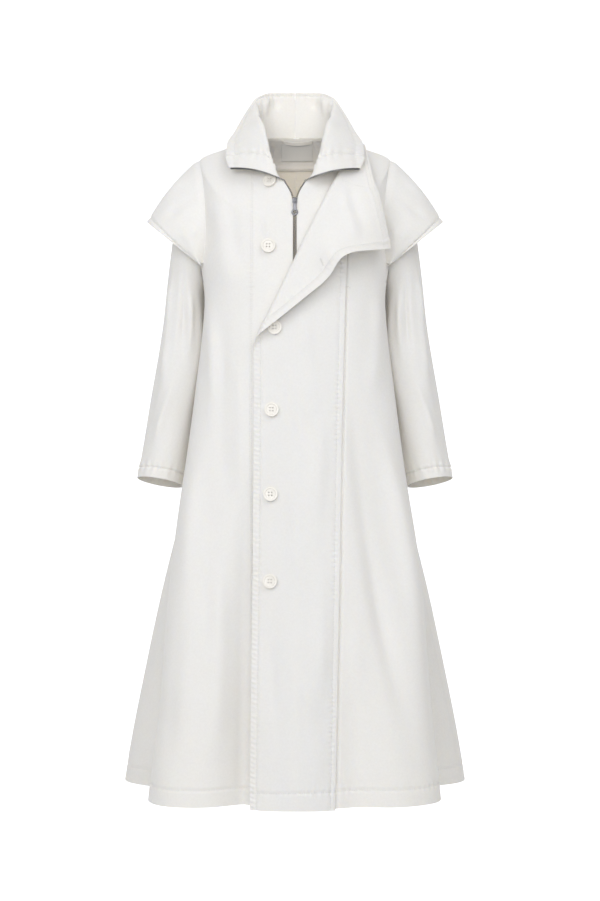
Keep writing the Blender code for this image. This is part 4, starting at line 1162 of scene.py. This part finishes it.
def overlap_base(x, z):
    """A point of the overlap's flat pattern, laid on the front and turned back past the roll line."""
    run = np.array(ROLL_HIGH) - np.array(ROLL_LOW)
    run = run / np.linalg.norm(run)
    from_x = x - ROLL_LOW[0]
    from_z = z - ROLL_LOW[1]
    along = from_x * run[0] + from_z * run[1]
    past = -from_x * run[1] + from_z * run[0]
    narrowed = smooth((along - ROLL_NARROWS[0]) / (ROLL_NARROWS[1] - ROLL_NARROWS[0]))
    radius = ROLL_RADIUS + (ROLL_TOP_RADIUS - ROLL_RADIUS) * narrowed
    bend = np.clip(past / radius, 0.0, np.pi)
    flap = np.maximum(past - np.pi * radius, 0.0)
    wave = smooth(flap / 0.06) * np.exp(-(((along - FLAP_WAVE_AT) / FLAP_WAVE_SPREAD) ** 2))
    flap = flap * (1 - FLAP_WAVE_PULL * wave)
    beside = np.where(past < 0, past, radius * np.sin(bend) - flap)
    raised = radius * (1 - np.cos(bend)) + FLAP_LIFT * smooth(flap / 0.09) + FLAP_WAVE_OUT * wave
    on_x = ROLL_LOW[0] + along * run[0] - beside * run[1]
    on_z = ROLL_LOW[1] + along * run[1] + beside * run[0]
    below = np.minimum(on_z - LOWEST_RING_Z, 0.0)
    angle, level = front_at(on_x, on_z - below)
    free = smooth((overlap_sewn(z) - x) / 0.05)
    ease = OVERLAP_SHOULDER_EASE * smooth((z + 0.15) / 0.07)
    stand = WALL + SEAM_GAP + 0.0006 + ease + OVERLAP_STAND_OFF * free
    hung = body(angle, level, 1.0)
    eased = body(angle, level, OVERLAP_FOLD_SHARE)
    point = hung + (eased - hung) * (free * (past < 0))[..., None]
    point[..., 2] += below
    return point + (stand + raised)[..., None] * body_normal(angle, level, OVERLAP_FOLD_SHARE)


def overlap_pattern(share, height):
    """The flat pattern: the free edge (0) to the sewn edge (1), the hem (0) to the top (1)."""
    sewn = overlap_sewn(OVERLAP_HEM_Z + (OVERLAP_SEWN_TOP_Z - OVERLAP_HEM_Z) * height)
    waist_up = (OVERLAP_FREE_WAIST_X, OVERLAP_FREE_CHEST_X, OVERLAP_FREE_TOP_X)
    free = spline((0.0, 0.65, 0.92, 1.0), (OVERLAP_FREE_HEM_X, *waist_up), height)
    x = free + (sewn - free) * share
    tops = (OVERLAP_FREE_TOP_Z, OVERLAP_PEAK_Z, OVERLAP_SEWN_TOP_Z)
    top = np.interp(share, (0.0, OVERLAP_PEAK_SHARE, 1.0), tops)
    return x, OVERLAP_HEM_Z + (top - OVERLAP_HEM_Z) * height


def overlap_surface(share, height):
    """The overlap's outer face with its creases and stitched edges, and its outward direction."""
    x, z = overlap_pattern(share, height)
    base = overlap_base(x, z)
    step = 0.0015
    across = overlap_base(x + step, z) - overlap_base(x - step, z)
    up = overlap_base(x, z + step) - overlap_base(x, z - step)
    outward = unit(np.cross(across, up))
    wide = OVERLAP_SEWN_HEM_X - OVERLAP_FREE_HEM_X
    tall = OVERLAP_FREE_TOP_Z - OVERLAP_HEM_Z
    from_free = share * wide
    from_sewn = (1 - share) * wide
    from_top = (1 - height) * tall
    out = creases(OVERLAP_CREASES, x, z) * smooth(share / 0.15) * smooth((1 - share) / 0.2)
    below_flap = 1 - 0.8 * smooth((z + 0.37) / 0.03)
    out = out + below_flap * rope(from_free, z, BAND_WIDE) + puckers(from_free - BAND_WIDE, z, swell=0.0003)
    out = out + puckers(from_sewn - SEWN_STITCH, z, swell=0.0007, pitch=0.0086, reach=0.006)
    out = out - 0.0010 * np.exp(-((from_sewn / 0.0008) ** 2)) * smooth((-0.10 - z) / 0.05)
    out = out + puckers(height * tall - HEM_TURNED, x, groove=0.0014, swell=0.0012)
    for away in FLAP_EDGE_STITCHES:
        out = out + puckers(from_top - away, x, groove=0.0008, swell=0.0004)
    return base + out[..., None] * outward, outward


band_shares = np.linspace(0, 0.11, 16, endpoint=False)
middle_shares = np.linspace(0.11, 0.93, 34, endpoint=False)
overlap_shares = np.concatenate((band_shares, middle_shares, np.linspace(0.93, 1, 20)))
overlap_rows = np.concatenate((np.linspace(0, 0.70, 370, endpoint=False), np.linspace(0.70, 1, 165)))


def overlap_place(share, height):
    return overlap_surface(share, height)[0]


overlap = lay_cloth("overlap_cloth", overlap_shares, overlap_rows, overlap_place, WALL)
dress(overlap, "overlap_panel")
height = np.linspace(0.004, 0.996, 700)
for share_at in (BAND_WIDE / STITCHED_WIDE, 1 - SEWN_STITCH / STITCHED_WIDE):
    sew(*overlap_surface(np.full_like(height, share_at), height))
share = np.linspace(0.02, 0.98, 120)
flap_heights = [1 - away / STITCHED_TALL for away in FLAP_EDGE_STITCHES]
for height_at in (HEM_TURNED / STITCHED_TALL, *flap_heights):
    sew(*overlap_surface(share, np.full_like(share, height_at)))


def sew_flap(share, height, **stitch):
    """Stitches on the overlap's under side, which the turned flap shows."""
    points, outward = overlap_surface(share, height)
    sew(points - WALL * outward, -outward, **stitch)


height = np.linspace(0.78, 0.99, 200)
sew_flap(np.full_like(height, BAND_WIDE / STITCHED_WIDE), height)
share = np.linspace(0.01, 0.90, 160)
for height_at in flap_heights:
    sew_flap(share, np.full_like(share, height_at))
share = np.interp(np.linspace(0, 3, 60), range(4), (0.767, 0.685, 0.553, 0.461))
height = np.interp(np.linspace(0, 3, 60), range(4), (0.9475, 0.9485, 0.9716, 0.9926))
sew_flap(share, height)
share = np.linspace(0.183, 0.095, 40)
height = np.linspace(0.896, 0.899, 40)
sew_flap(share, height, stitch=0.0016, skip=0.0006, thick=0.0016)
join_stitches("overlap_stitching")

# Buttons
# Six four-hole buttons turned from ivory plastic, with a raised rim, each sewn on by thread sunk in its
# holes.
BUTTON_RADIUS = 0.0130
BUTTON_RIM = 0.0030
BUTTON_HEIGHT = 0.0042
BUTTON_DISH = 0.0012
HOLE_RADIUS = 0.0012
HOLE_REACH = 0.0026


def button_plastic():
    """Cast polyester button stock, turned and tumbled: ivory, faintly clouded, with a soft polish."""
    settings = {"Roughness": 0.3, "IOR": 1.54, "Coat Weight": 0.15}
    made, tree, shader = new_material("button_polyester", settings)
    place = add(tree, "ShaderNodeTexCoord", {})
    cloud = add(tree, "ShaderNodeTexNoise", {"Scale": 140.0, "Detail": 3.0},
                {"Vector": place.outputs["Object"]})
    tones = add(tree, "ShaderNodeMixRGB", {"Color1": linear("EDE7DA"), "Color2": linear("F3EFE6")},
                {"Fac": cloud.outputs["Fac"]})
    tree.links.new(tones.outputs["Color"], shader.inputs["Base Color"])
    return made


ivory = button_plastic()
bpy.ops.object.select_all(action="DESELECT")
bpy.ops.mesh.primitive_cylinder_add(vertices=56, radius=BUTTON_RADIUS, depth=BUTTON_HEIGHT)
pattern_button = bpy.context.object
bpy.ops.object.mode_set(mode="EDIT")
bpy.ops.mesh.select_all(action="DESELECT")
bpy.ops.object.mode_set(mode="OBJECT")
for face in pattern_button.data.polygons:
    face.select = face.normal.z > 0.9
bpy.ops.object.mode_set(mode="EDIT")
bpy.ops.mesh.inset(thickness=BUTTON_RIM)
bpy.ops.mesh.inset(thickness=0.0010)
bpy.ops.transform.translate(value=(0, 0, -BUTTON_DISH))
bpy.ops.object.mode_set(mode="OBJECT")
for a in (-1, 1):
    for b in (-1, 1):
        bpy.ops.mesh.primitive_cylinder_add(
            vertices=20, radius=HOLE_RADIUS, depth=0.02, location=(a * HOLE_REACH, b * HOLE_REACH, 0)
        )
        drill = bpy.context.object
        pick(pattern_button)
        hole = pattern_button.modifiers.new("Hole", "BOOLEAN")
        hole.object = drill
        hole.operation = "DIFFERENCE"
        bpy.ops.object.modifier_apply(modifier=hole.name)
        bpy.data.objects.remove(drill)
softened = pattern_button.modifiers.new("Round", "BEVEL")
softened.width = 0.0006
softened.segments = 3
softened.limit_method = "ANGLE"
softened.angle_limit = math.radians(35)
bpy.ops.object.modifier_apply(modifier=softened.name)
bpy.ops.object.shade_smooth_by_angle(angle=math.radians(40))
pattern_button.data.materials.append(ivory)
shape = np.array([vertex.co for vertex in pattern_button.data.vertices])
for number in range(1, 7):
    name = f"button_{number}"
    solid = np.array([vertex.co for vertex in nodes[name].data.vertices])
    low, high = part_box(name)
    centre = 0.5 * (np.array(low) + np.array(high))
    normal = np.linalg.svd(solid - solid.mean(0), full_matrices=False)[2][2]
    normal = normal * (-1.0 if normal[1] > 0 else 1.0)
    depth = (solid - centre) @ normal
    centre = centre + normal * 0.5 * (depth.max() + depth.min())
    aside = unit(np.cross(np.array((0.0, 0.0, 1.0)), normal))
    upward = np.cross(normal, aside)
    turned = pattern_button.data.copy()
    places = centre + shape[:, :1] * aside + shape[:, 1:2] * upward + shape[:, 2:] * normal
    turned.vertices.foreach_set("co", places.ravel())
    turned.update()
    button = bpy.data.objects.new(f"{name}_turned", turned)
    bpy.context.scene.collection.objects.link(button)
    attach(button, "coat")
    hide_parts(name)
    for a in (-1, 1):
        line = np.linspace(-1.0, 1.0, 9)[:, None]
        sew(centre - 0.0012 * normal + HOLE_REACH * (a * aside + line * upward),
            np.repeat(normal[None], 9, 0), stitch=0.0046, skip=0.0003, thick=0.0007)
bpy.data.objects.remove(pattern_button)
join_stitches("button_thread")

bpy.context.view_layer.update()
